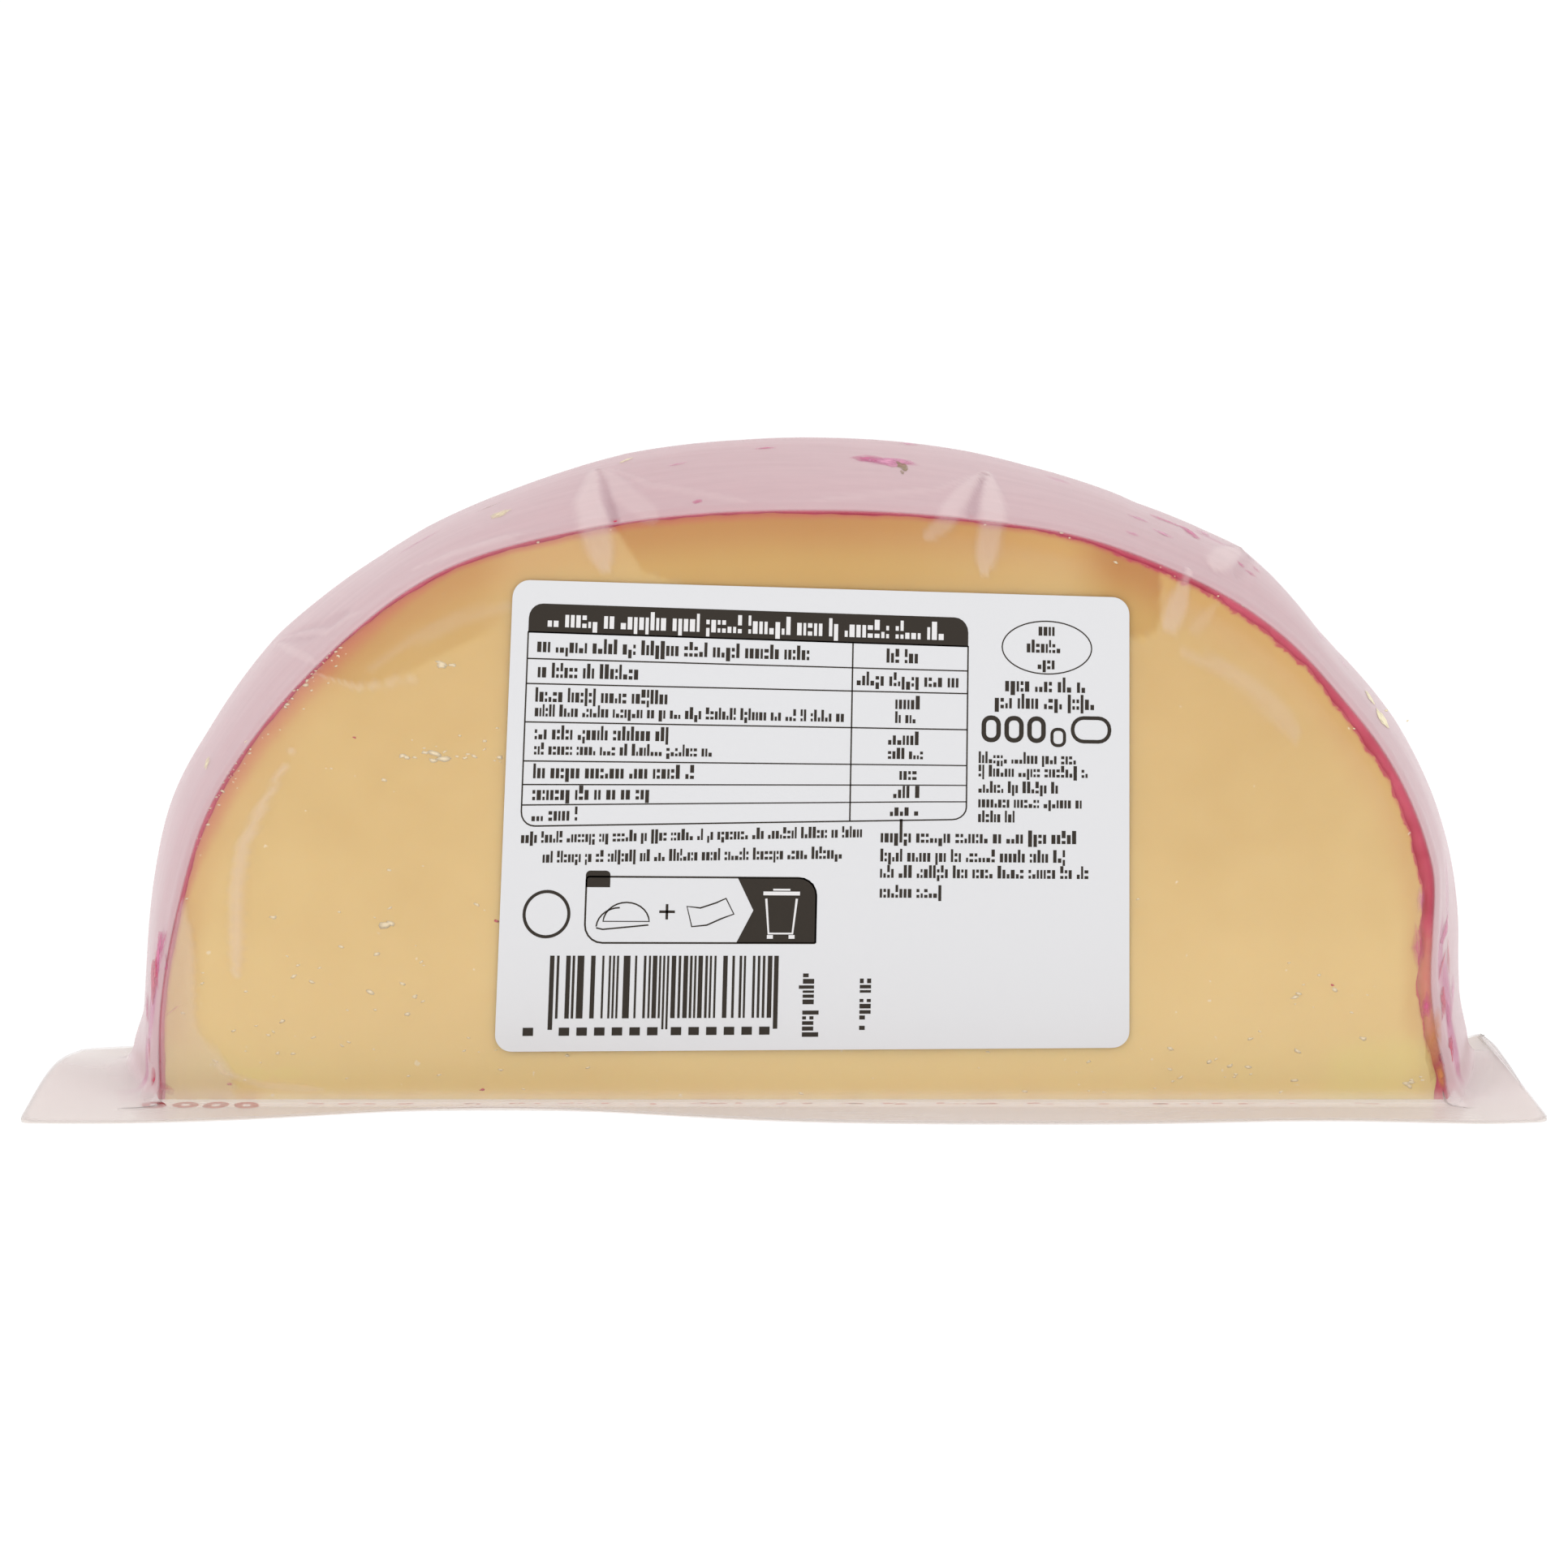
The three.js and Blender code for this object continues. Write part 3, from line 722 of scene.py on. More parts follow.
# where the film is propped off the rim: mm along the rim, mm to either side, and mm of height, or
# below 0 where it is drawn in
TENTS = [(-78.0, 16.0, 0.7), (-55.0, 16.0, 0.3), (-28.0, 16.0, 0.4), (26.0, 20.0, 0.2), (46.0, 12.0, 0.4),
         (62.5, 14.0, 1.8), (80.0, 12.0, -0.5)]
# the pale tint is partly haze and partly painted highlight, and the groove tint is painted shade
FACE_TINT, RIM_TINT, FLANGE_TINT, PALE_HAZE_AND_HIGHLIGHT_TINT, GROOVE_PAINTED_SHADE_TINT, TOUCH_TINT = (
    np.array(linear(code)) for code in ("#F2E0C8", "#E6CACE", "#F0E6E4", "#FAE8E6", "#C09AA4", "#DE7FB0"))

film_points, film_out, film_depth, film_along, film_haze, film_tint = film_surface()
film_rows, film_columns = film_depth.shape


def walk(path, shares):
    """Points at the given shares of a path's length."""
    run = run_along(*path.T)
    return np.stack([np.interp(shares * run[-1], run, line) for line in path.T], -1)


def flange_ring():
    """The flange: from the loop of the film's foot, straight out to a rounded rectangle. Each side
    of the loop spreads evenly over its side of the rectangle, and its ends over the corners."""
    first, last = FILM_STEPS[0] - 1, film_rows - FILM_STEPS[2] + 1
    front, back = film_points[0], film_points[-1, ::-1]
    left, right = film_points[first:last, -1], film_points[first:last, 0][::-1]
    long_side, short_side = half_length - FLANGE_CORNER, half_depth - FLANGE_CORNER
    turns = np.linspace(0, np.pi / 2, 6)
    bend = np.stack([
        long_side + FLANGE_CORNER * np.sin(turns), -short_side - FLANGE_CORNER * np.cos(turns)], -1)
    right_end = np.concatenate([bend, (bend * [1, -1])[::-1]])
    long_edge = np.array([[long_side, -half_depth], [-long_side, -half_depth]])
    outer = []
    for side, path in (
            (front, long_edge), (left, right_end * [-1, 1]), (back, -long_edge),
            (right, right_end[::-1])):
        run = run_along(side[:, 0], side[:, 1])
        outer.append(walk(path, run / run[-1]))
    loop, rim = np.concatenate([front, left, back, right]), np.concatenate(outer)
    shares = np.linspace(0, 1, FLANGE_STEPS + 1)[:, None]
    ring_x = loop[:, 0] + (rim[:, 0] - loop[:, 0]) * shares
    ring_y = loop[:, 1] + (rim[:, 1] - loop[:, 1]) * shares
    ring_z = FLANGE_Z + flange_lift(ring_x, ring_y)
    return np.stack([ring_x - flange_draw(ring_x, ring_y), ring_y, ring_z], -1)


flange = flange_ring()
flange = np.concatenate([flange, flange[:, :1]], 1)
flange_rows, flange_columns = flange.shape[:2]
flange_first = film_rows * film_columns
film_all = np.concatenate([film_points.reshape(-1, 3), flange.reshape(-1, 3)])
film_faces = np.concatenate([
    grid_quads(film_rows, film_columns),
    grid_quads(flange_rows, flange_columns, flange_first)[:, ::-1]])

flange_haze = np.full(flange.shape[:2], FLANGE_HAZE)
all_haze = np.concatenate([film_haze.ravel(), flange_haze.ravel()])
# both sides of the wall are seen through, so each carries half of the haze
one_side = 1 - np.sqrt(1 - np.clip(all_haze, 0, 0.98))
film = make_piece("formed_film_cover", film_all, film_faces, {
    "haze": one_side,
    "tint": np.concatenate([
        film_tint.reshape(-1, 4), np.broadcast_to(FLANGE_TINT, (flange_haze.size, 4))]),
    "along_rim": np.concatenate([film_along.ravel(), flange[..., 0].ravel()]),
    "across_rim": np.concatenate([film_depth.ravel(), flange[..., 1].ravel()]),
})
wall = film.modifiers.new("film_wall", "SOLIDIFY")
wall.thickness = FILM_WALL * MM
wall.offset = 1.0
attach(film, "root")
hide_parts("formed_film")


def film_material():
    """Formed packaging film: clear plastic with a slight haze. Where it stands off the cheese the
    haze shows pale and a little pink, and it turns denser at a glancing look, as film does."""
    material, tree, shader = new_material("clear_formed_film", Roughness=0.22, IOR=1.38)
    haze, along, across = (
        add_node(tree, "ShaderNodeAttribute", attribute_name=name).outputs["Fac"]
        for name in ("haze", "along_rim", "across_rim"))
    tint = add_node(tree, "ShaderNodeAttribute", attribute_name="tint").outputs["Color"]
    slow = add_node(tree, "ShaderNodeMath", {0: along, 1: 0.08}, operation="MULTIPLY")
    fast = add_node(tree, "ShaderNodeMath", {0: across, 1: 0.7}, operation="MULTIPLY")
    lane = add_node(tree, "ShaderNodeCombineXYZ", {0: slow.outputs[0], 1: fast.outputs[0]})
    streaks = add_node(tree, "ShaderNodeTexNoise", {"Vector": lane.outputs[0], "Scale": 1.0, "Detail": 4.0})
    place = add_node(tree, "ShaderNodeTexCoord").outputs["Object"]
    cloud = add_node(tree, "ShaderNodeTexNoise", {"Vector": place, "Scale": 45.0, "Detail": 4.0})
    mixed = add_node(tree, "ShaderNodeMath", {0: streaks.outputs["Fac"], 1: cloud.outputs["Fac"]},
                     operation="ADD")
    vary = add_node(tree, "ShaderNodeMapRange", {0: mixed.outputs[0], 1: 0.6, 2: 1.4, 3: 0.94, 4: 1.06})
    milky = add_node(tree, "ShaderNodeMath", {0: haze, 1: vary.outputs[0]}, operation="MULTIPLY")
    glance = add_node(tree, "ShaderNodeLayerWeight", {"Blend": 0.18})
    rest = add_node(tree, "ShaderNodeMath", {0: glance.outputs["Fresnel"], 1: 0.16}, operation="MULTIPLY")
    alpha = add_node(tree, "ShaderNodeMath", {0: milky.outputs[0], 1: rest.outputs[0]}, operation="ADD",
                     use_clamp=True)
    bump = add_node(tree, "ShaderNodeBump", {
        "Height": mixed.outputs[0], "Strength": 0.06, "Distance": 0.0003})
    tree.links.new(tint, shader.inputs["Base Color"])
    tree.links.new(alpha.outputs[0], shader.inputs["Alpha"])
    tree.links.new(bump.outputs[0], shader.inputs["Normal"])
    return material


film.data.materials.append(film_material())

# ================================================================================================
# Flecks on the rim
# Shreds of red wax, and a few crumbs of paste, pressed flat between the wax and the film. They
# touch the film, so they show clearly where its haze hides the rest of the rim.
# ================================================================================================

MAGENTA, ROSE, CRIMSON, AMBER, CREAM, OLIVE = "#D24F8C", "#E08FB4", "#C8345A", "#D58A4A", "#F2E3B4", "#8E7A45"
# each fleck: mm along the rim, mm across it, half length along, half width across, slant in
# degrees, colour, how solid it is, and how solid its edge is
FLECKS = [
    (12.9, 12.6, 3.6, 1.7, 3, ROSE, 0.85, 0.35), (9.8, 13.2, 2.6, 1.3, 0, MAGENTA, 0.60, 0.15),
    (14.6, 11.1, 0.8, 1.7, 10, OLIVE, 0.75, 0.45), (14.2, 9.2, 0.3, 0.7, 0, OLIVE, 0.60, 0.40),
    (-7.2, 17.1, 1.9, 0.5, 4, MAGENTA, 0.55, 0.10), (-14.6, 1.8, 0.7, 0.6, 15, MAGENTA, 0.60, 0.20),
    (17.3, 21.0, 1.6, 0.6, 0, ROSE, 0.50, 0.10), (-19.5, 13.2, 1.4, 0.5, 10, ROSE, 0.45, 0.05),
    (-42.6, 9.5, 1.5, 1.5, 12, CREAM, 0.80, 0.35), (-27.5, 18.0, 1.2, 0.5, 45, CREAM, 0.70, 0.40),
    (51.3, 15.6, 2.4, 1.1, -6, MAGENTA, 0.65, 0.10), (54.2, 14.7, 1.1, 2.3, 10, MAGENTA, 0.75, 0.25),
    (49.4, 8.7, 1.6, 0.8, -8, ROSE, 0.60, 0.10), (46.5, 11.0, 1.8, 0.7, 5, ROSE, 0.60, 0.10),
    (56.9, 18.0, 1.1, 1.3, 0, ROSE, 0.60, 0.10), (44.0, 4.2, 1.3, 0.5, 8, ROSE, 0.55, 0.10),
    (60.6, 11.1, 0.7, 0.7, 20, MAGENTA, 0.60, 0.15), (61.8, 9.6, 0.8, 0.6, 0, MAGENTA, 0.55, 0.15),
    (63.0, 12.5, 0.6, 0.7, 30, MAGENTA, 0.55, 0.15), (74.8, 13.2, 1.5, 0.9, -5, ROSE, 0.60, 0.10),
    (79.5, 13.0, 1.1, 0.8, 0, ROSE, 0.50, 0.10), (86.0, 6.8, 1.7, 2.3, -10, CREAM, 0.95, 0.75),
    (83.9, 9.8, 1.1, 1.9, 0, CREAM, 0.95, 0.75), (-92.5, 8.0, 0.7, 1.6, 0, CREAM, 0.75, 0.40),
    (-54.4, 13.7, 3.6, 0.35, 2, ROSE, 0.45, 0.10), (-45.3, 15.2, 2.2, 0.3, 4, OLIVE, 0.35, 0.10),
    (116.6, 6.0, 1.6, 3.2, -8, MAGENTA, 0.75, 0.30), (120.2, 3.6, 0.6, 2.4, 10, CRIMSON, 0.75, 0.30),
    (122.0, 8.0, 2.8, 1.1, 0, CRIMSON, 0.50, 0.15), (124.4, 2.4, 2.0, 1.8, 0, CRIMSON, 0.80, 0.30),
    (127.4, 4.0, 2.4, 1.2, 0, MAGENTA, 0.55, 0.15), (128.6, 8.5, 2.0, 3.5, 0, ROSE, 0.60, 0.05),
    (130.4, 1.6, 1.6, 1.9, 0, CRIMSON, 0.85, 0.40),
    (-116.6, 2.2, 3.2, 2.2, 0, MAGENTA, 0.85, 0.35), (-120.4, 3.0, 2.9, 2.9, 0, CRIMSON, 0.85, 0.35),
    (-126.8, 5.0, 1.8, 2.2, 0, MAGENTA, 0.55, 0.10), (-129.4, 1.4, 1.6, 1.4, 0, CRIMSON, 0.65, 0.20),
    (-114.5, 1.0, 2.6, 0.8, 0, MAGENTA, 0.60, 0.10),
]
# flecks over the front cut face, with x and z in mm in place of along and across
FACE_FLECKS = [
    (84.4, 21.4, 0.9, 3.4, 8, MAGENTA, 0.55, 0.05), (85.7, 13.4, 0.9, 1.9, 0, MAGENTA, 0.60, 0.12),
    (84.6, 27.8, 0.6, 2.0, 0, ROSE, 0.50, 0.05), (86.9, 8.6, 1.2, 5.6, -4, AMBER, 0.45, 0.10),
    (87.9, 3.9, 0.7, 2.0, 8, AMBER, 0.75, 0.20), (-81.6, 12.8, 1.5, 0.16, 38, MAGENTA, 0.60, 0.20),
    (-83.6, 18.1, 0.22, 3.2, 2, CRIMSON, 0.60, 0.20), (-84.3, 3.4, 0.5, 2.0, 4, CRIMSON, 0.70, 0.20),
    (-82.9, 2.2, 1.5, 0.6, -25, CRIMSON, 0.65, 0.20),
]
RIM_ROWS = np.arange(FILM_STEPS[0] - 1, film_rows - FILM_STEPS[2] + 1)
FLECK_SIDES = 12


def on_rim_film(along, across, above):
    """Points of the film at places along and across the rim, above mm out from its inner side,
    with straight lines between the film's own points."""
    row = np.interp(across, -film_depth[RIM_ROWS, 0], RIM_ROWS)
    column = np.interp(-along, -film_along[0], np.arange(film_columns))
    r = np.minimum(row.astype(int), film_rows - 2)
    c = np.minimum(column.astype(int), film_columns - 2)
    u, v = (row - r)[:, None], (column - c)[:, None]
    near = film_points[r, c] * (1 - u) + film_points[r + 1, c] * u
    far = film_points[r, c + 1] * (1 - u) + film_points[r + 1, c + 1] * u
    return near * (1 - v) + far * v + film_out[r, c] * above


def fleck_patches(above):
    """Each fleck is a fan of triangles round its middle: an ellipse with an uneven outline, turned
    by its slant and laid on the film. The middle is its last point."""
    rng = np.random.default_rng(5)
    side = np.arange(FLECK_SIDES)
    turn = side * np.pi / 6
    points, tints, solid = [], [], []
    for flecks, over_face in ((FLECKS, False), (FACE_FLECKS, True)):
        for a, b, long, wide, slant, code, middle, rim in flecks:
            reach = rng.uniform(0.65, 1.15, FLECK_SIDES)
            p, q = np.append(long * reach * np.cos(turn), 0), np.append(wide * reach * np.sin(turn), 0)
            s = np.radians(slant)
            p, q = a + p * np.cos(s) - q * np.sin(s), b + p * np.sin(s) + q * np.cos(s)
            if over_face:
                place = np.stack([p, np.full_like(p, FRONT_Y - FILM_OFF_FACE - above), q], -1)
            else:
                place = on_rim_film(p, q, above)
            points.append(place)
            tints.append(np.tile(linear(code), (len(p), 1)))
            solid.append(np.append(np.full(FLECK_SIDES, rim), middle))
    fan = np.stack([np.full_like(side, FLECK_SIDES), (side + 1) % FLECK_SIDES, side], -1)
    faces = (np.arange(len(points))[:, None, None] * (FLECK_SIDES + 1) + fan).reshape(-1, 3)
    points = np.concatenate(points)
    # each fan is turned, where needed, so that it faces away from the slice's middle
    a, b, c = points[faces].transpose(1, 0, 2)
    away = (a - [CENTRE_X, 0, FOOT_Z]) * [1, 2, 1]
    inwards = (np.cross(b - a, c - a) * away).sum(-1) < 0
    faces[inwards] = faces[inwards][:, ::-1]
    return points, faces, np.concatenate(tints), np.concatenate(solid)


fleck_points, fleck_faces, fleck_tints, fleck_solid = fleck_patches(FILM_WALL + 0.05)
flecks = make_piece(
    "rim_flecks", fleck_points, fleck_faces, {"tint": fleck_tints, "solid": fleck_solid}, merge=0.0)
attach(flecks, "root")


def fleck_material():
    """Smeared wax and paste: thin enough at the edges to see through."""
    material, tree, shader = new_material("smeared_wax_and_paste", Roughness=0.3, IOR=1.44)
    tint = add_node(tree, "ShaderNodeAttribute", attribute_name="tint").outputs["Color"]
    solid = add_node(tree, "ShaderNodeAttribute", attribute_name="solid").outputs["Fac"]
    place = add_node(tree, "ShaderNodeTexCoord").outputs["Object"]
    grain = add_node(tree, "ShaderNodeTexNoise", {"Vector": place, "Scale": 1100.0, "Detail": 3.0})
    broken = add_node(tree, "ShaderNodeMapRange", {0: grain.outputs["Fac"], 1: 0.3, 2: 0.6, 3: 0.55, 4: 1.25})
    alpha = add_node(tree, "ShaderNodeMath", {0: solid, 1: broken.outputs[0]}, operation="MULTIPLY",
                     use_clamp=True)
    tree.links.new(tint, shader.inputs["Base Color"])
    tree.links.new(alpha.outputs[0], shader.inputs["Alpha"])
    return material


flecks.data.materials.append(fleck_material())

# ================================================================================================
# Base film
# The flat film under the slice, sealed all round to the flange, so it follows the flange's waves.
# It is milky, and the red marks printed on it show past the foot of the slice.
# ================================================================================================

BASE_POINTS = (300, 60)  # along the pack and across it
BASE_WALL = 0.13

base_x, base_y = np.meshgrid(
    np.linspace(-half_length, half_length, BASE_POINTS[0]),
    np.linspace(half_depth, -half_depth, BASE_POINTS[1]))
# the corners are drawn in to the flange's rounding
corner_x = np.clip(np.abs(base_x) - (half_length - FLANGE_CORNER), 0, None)
corner_y = np.clip(np.abs(base_y) - (half_depth - FLANGE_CORNER), 0, None)
both = np.maximum(np.hypot(corner_x, corner_y), 1e-9)
shrink = np.maximum(corner_x, corner_y) / both
base_x -= np.sign(base_x) * corner_x * (1 - shrink)
base_y -= np.sign(base_y) * corner_y * (1 - shrink)
base_z = flange_lift(base_x, base_y)
base_x -= flange_draw(base_x, base_y)
base = make_piece("base_film_web", np.stack([base_x, base_y, base_z], -1), grid_quads(*base_x.shape))
base_wall = base.modifiers.new("film_wall", "SOLIDIFY")
base_wall.thickness = BASE_WALL * MM
base_wall.offset = 1.0
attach(base, "root")
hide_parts("base_film")


def base_material():
    """Sealing film: a milky laminate with a satin face and faint ridges, about a millimetre apart,
    like those that a sealing bar presses into it."""
    material, tree, shader = new_material("milky_base_film", Roughness=0.3, IOR=1.5, Alpha=0.62)
    place = add_node(tree, "ShaderNodeTexCoord").outputs["Object"]
    cloud = add_node(tree, "ShaderNodeTexNoise", {"Vector": place, "Scale": 60.0, "Detail": 4.0})
    colour = add_node(tree, "ShaderNodeMix", {
        0: cloud.outputs["Fac"], 6: linear("#F2E8E2"), 7: linear("#F8F1EC")}, data_type="RGBA")
    ridges = add_node(tree, "ShaderNodeTexWave", {"Vector": place, "Scale": 320.0, "Distortion": 1.5},
                      bands_direction="Y")
    bump = add_node(tree, "ShaderNodeBump", {
        "Height": ridges.outputs["Fac"], "Strength": 0.2, "Distance": 0.0002})
    tree.links.new(colour.outputs[2], shader.inputs["Base Color"])
    tree.links.new(bump.outputs[0], shader.inputs["Normal"])
    return material


base.data.materials.append(base_material())

# ================================================================================================
# Red print marks
# What shows of the base film's printing past the foot of the slice: plain red dots and dashes of
# ink, made as thin flat patches that follow the film.
# ================================================================================================

RING_PLACES = (-84.2, -80.0, -75.9, -71.8)
RING_SIDES = 16
DASHES = 60


def printed_marks():
    """Rings near the left end, each a slightly wavy band, and a row of small four-sided dashes
    along the foot, at seeded places and in seeded sizes."""
    rng = np.random.default_rng(7)
    points, faces = [], []
    turns = np.linspace(0, 2 * np.pi, RING_SIDES + 1)[:-1]
    for x in RING_PLACES:
        y, size = -11.4 + rng.uniform(-0.15, 0.15), rng.uniform(1.6, 1.8)
        wobble = 1 + 0.12 * np.sin(turns * 2 + x)
        start = len(points)
        for radius in (size, size * 0.35):
            points += list(zip(x + radius * wobble * np.cos(turns), y + radius * 1.1 * np.sin(turns)))
        for i in range(RING_SIDES):
            j = (i + 1) % RING_SIDES
            faces.append((start + i, start + j, start + RING_SIDES + j, start + RING_SIDES + i))
    for x in np.sort(rng.uniform(-64, 80, DASHES)):
        y = FRONT_Y - 0.75 + rng.uniform(-0.3, 0.3)
        wide, deep = rng.uniform(0.2, 0.9), rng.uniform(0.12, 0.35)
        start = len(points)
        points += [(x - wide, y - deep), (x + wide, y - deep * 0.6)]
        points += [(x + wide * 0.8, y + deep), (x - wide * 0.9, y + deep)]
        faces.append((start, start + 1, start + 2, start + 3))
    flat = np.array(points)
    height = flange_lift(flat[:, 0], flat[:, 1]) + BASE_WALL + 0.02
    return np.column_stack([flat, height]), faces


mark_points, mark_faces = printed_marks()
marks = make_piece("base_print_marks", mark_points, mark_faces, smooth_shaded=False)
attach(marks, "root")
marks_ink, _, _ = new_material("faded_red_film_ink", Base_Color=linear("#C8464E"), Roughness=0.45)
marks.data.materials.append(marks_ink)

# ================================================================================================
# Sticker
# A coated paper sticker with rounded corners on the front of the film, a little off centre. The
# film it sits on is drawn up, so it is not quite square: its sides lean and its rows fall away.
# ================================================================================================

STICKER_SIZE = (84.0, 61.5)
STICKER_CORNERS = np.array([(-35.22, 70.07), (45.35, 67.72), (-38.36, 7.18), (46.15, 7.74)])
STICKER_ROUNDING = 2.3
STICKER_MARGIN = 0.35  # the sheet's left and top edges lie this far outside the print's frame
STICKER_Y = FRONT_Y - FILM_OFF_FACE - FILM_WALL - 0.06
STICKER_THICK = 0.09


def on_sticker(x, y, above):
    """Where a point of the sticker lies: x and y in mm from its top left corner, and how far in
    front of it. The four corners set it, with straight lines between."""
    u, v = np.asarray(x) / STICKER_SIZE[0], np.asarray(y) / STICKER_SIZE[1]
    left_top, right_top, left_low, right_low = STICKER_CORNERS[:, :, None]
    place = (left_top * (1 - u) + right_top * u) * (1 - v) + (left_low * (1 - u) + right_low * u) * v
    return np.stack([place[0], np.full(place[0].shape, STICKER_Y - STICKER_THICK - above), place[1]], -1)


def rounded_box(x0, y0, x1, y1, radii, steps=6):
    """The outline of a box whose corners have these radii, from the top left one, clockwise."""
    turns = np.linspace(0, np.pi / 2, steps)
    path = []
    for (cx, cy, sx, sy, quarter), r in zip(
            ((x0, y0, 1, 1, 2), (x1, y0, -1, 1, 3), (x1, y1, -1, -1, 0), (x0, y1, 1, -1, 1)), radii):
        angle = turns + quarter * np.pi / 2
        path.append(np.stack([cx + sx * r + r * np.cos(angle), cy + sy * r + r * np.sin(angle)], -1))
    return np.concatenate(path)


sheet_edge = rounded_box(-STICKER_MARGIN, -STICKER_MARGIN, *STICKER_SIZE, (STICKER_ROUNDING,) * 4, 9)
sheet_front = on_sticker(sheet_edge[:, 0], sheet_edge[:, 1], 0.0)
sheet_back = on_sticker(sheet_edge[:, 0], sheet_edge[:, 1], -STICKER_THICK)
count = len(sheet_edge)
ahead = np.roll(np.arange(count), -1)
sheet_faces = [list(range(count))[::-1], list(range(count, 2 * count))]
sheet_faces += np.stack([np.arange(count), ahead, ahead + count, np.arange(count) + count], -1).tolist()
sticker = make_piece("sticker", np.concatenate([sheet_front, sheet_back]), sheet_faces, smooth_shaded=False)
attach(sticker, "root")
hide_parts("label")


def sticker_material():
    """Coated paper: a smooth off-white sheet with a soft sheen."""
    material, tree, shader = new_material(
        "coated_sticker_paper", Roughness=0.5, IOR=1.45, Base_Color=linear("#DCDCDE"))
    place = add_node(tree, "ShaderNodeTexCoord").outputs["Object"]
    grain = add_node(tree, "ShaderNodeTexNoise", {"Vector": place, "Scale": 900.0, "Detail": 2.0})
    bump = add_node(tree, "ShaderNodeBump", {
        "Height": grain.outputs["Fac"], "Strength": 0.05, "Distance": 0.0001})
    tree.links.new(bump.outputs[0], shader.inputs["Normal"])
    return material


sticker.data.materials.append(sticker_material())

# ================================================================================================
# Sticker print
# One dark ink. The rows of writing are plain word-long bars, and the table, the frames, the strip
# of upright bars and the small outline drawings keep their places. The ring at the left is plain.
# ================================================================================================

INK_ABOVE, BARE_ABOVE = 0.02, 0.03  # how far in front of the sheet ink and left-open places lie

print_rng = np.random.default_rng(23)
print_points, print_faces, print_tones = [], [], []


def lean(x, y):
    """Where a row at y has gone, in mm down the sheet: to the right, the table's head has sunk a
    little, and its foot has risen."""
    rise = 0.5 * hump(y, 6, 6) - 1.6 * hump(y, 33, 7.5)
    return y + rise * np.clip(x / 60, 0, 1) * (x < np.where(y < 32, 62.6, 49.0)) * (y < 37)


def put(path, tone=1.0):
    """Print one filled shape, given clockwise as it is read. Tone 1 is ink and 0 bare paper."""
    path = np.asarray(path, float)
    start = sum(len(p) for p in print_points)
    x, y = path.T
    print_points.append(on_sticker(x, lean(x, y), INK_ABOVE if tone else BARE_ABOVE))
    print_faces.append(list(range(start, start + len(path)))[::-1])
    print_tones.append(np.full(len(path), tone))


def bar(x0, y0, x1, y1, tone=1.0):
    """Print one upright rectangle, from its left and top to its right and bottom."""
    put([(x0, y0), (x1, y0), (x1, y1), (x0, y1)], tone)


def stroke(path, width, closed=False, tone=1.0):
    """Print a line of this width along a path, as one four-sided shape for each of its steps. At
    each corner the sides follow the mean of the two steps' directions."""
    path = np.asarray(path, float)
    if closed:
        path = np.concatenate([path, path[:1]])
    step = np.diff(path, axis=0)
    side = np.stack([-step[:, 1], step[:, 0]], -1)
    side /= np.maximum(np.hypot(*side.T), 1e-9)[:, None]
    first, last = (side[-1:] + side[:1],) * 2 if closed else (side[:1], side[-1:])
    side = np.concatenate([first, side[1:] + side[:-1], last])
    side *= width / 2 / np.maximum(np.hypot(*side.T), 1e-9)[:, None]
    above, below = path - side, path + side
    for i in range(len(step)):
        put([above[i], above[i + 1], below[i + 1], below[i]], tone)


def words(x0, x1, y, tall, tone=1.0, weight=1.0, upright=False):
    """One row of writing, as words of plain blocks in place of letters: upright ones, low ones and
    split ones. Y is the row's middle, and tall a small letter's height. An upright row runs
    downwards, with x0 and x1 as its ends and y as the middle across."""
    x = x0
    while x < x1 - 0.4 * tall:
        for _ in range(print_rng.integers(2, 9)):
            wide = tall * weight * print_rng.uniform(0.22, 0.44)
            if x + wide > x1:
                break
            up = print_rng.choice([0.5, 0.95], p=[0.75, 0.25])
            down = print_rng.choice([0.5, 0.85], p=[0.93, 0.07])
            kind = print_rng.choice(3, p=[0.62, 0.14, 0.24])
            spans = ([(-up, down)], [(0.0, down)], [(-up, -0.14), (0.16, down)])[kind]
            for a, b in spans:
                if upright:
                    bar(y - b * tall, x, y - a * tall, x + wide, tone)
                else:
                    bar(x, y + a * tall, x + wide, y + b * tall, tone)
            x += wide + 0.15 * tall
        x += 0.42 * tall


# the table: a dark head with pale words, rules, a column line, and a rounded frame
TABLE_X = (2.0, 62.0)
put(rounded_box(TABLE_X[0], 2.6, TABLE_X[1], 6.4, (1.9, 1.9, 0.01, 0.01)))
words(4.6, 59.4, 4.75, 1.6, tone=0.0)
for y in (9.75, 13.0, 18.0, 23.1, 26.2, 28.9):
    for x in np.arange(TABLE_X[0], TABLE_X[1], 6.0):
        bar(x, y - 0.09, x + 6.0, y + 0.09)
stroke(rounded_box(TABLE_X[0], 6.3, TABLE_X[1], 31.7, (0.01, 0.01, 1.9, 1.9)), 0.2, closed=True)
bar(46.2, 6.3, 46.4, 31.7)
for (a, b), (c, d), y, tall in (
        ((3.3, 40.7), (50.9, 55.4), 8.2, 1.35), ((3.5, 17.9), (46.9, 61.2), 11.5, 1.35),
        ((3.3, 22.4), (52.2, 55.7), 14.7, 1.3), ((3.3, 45.6), (52.2, 55.7), 16.7, 1.1),
        ((3.4, 21.6), (51.3, 56.6), 19.6, 1.3), ((3.4, 28.2), (51.3, 56.6), 21.7, 1.1),
        ((3.4, 25.3), (52.9, 55.6), 24.7, 1.35), ((3.4, 19.4), (52.1, 55.7), 27.6, 1.35),
        ((3.4, 9.9), (51.7, 55.8), 30.4, 1.3)):
    words(a, b, y, tall)
    words(c, d, y, tall)
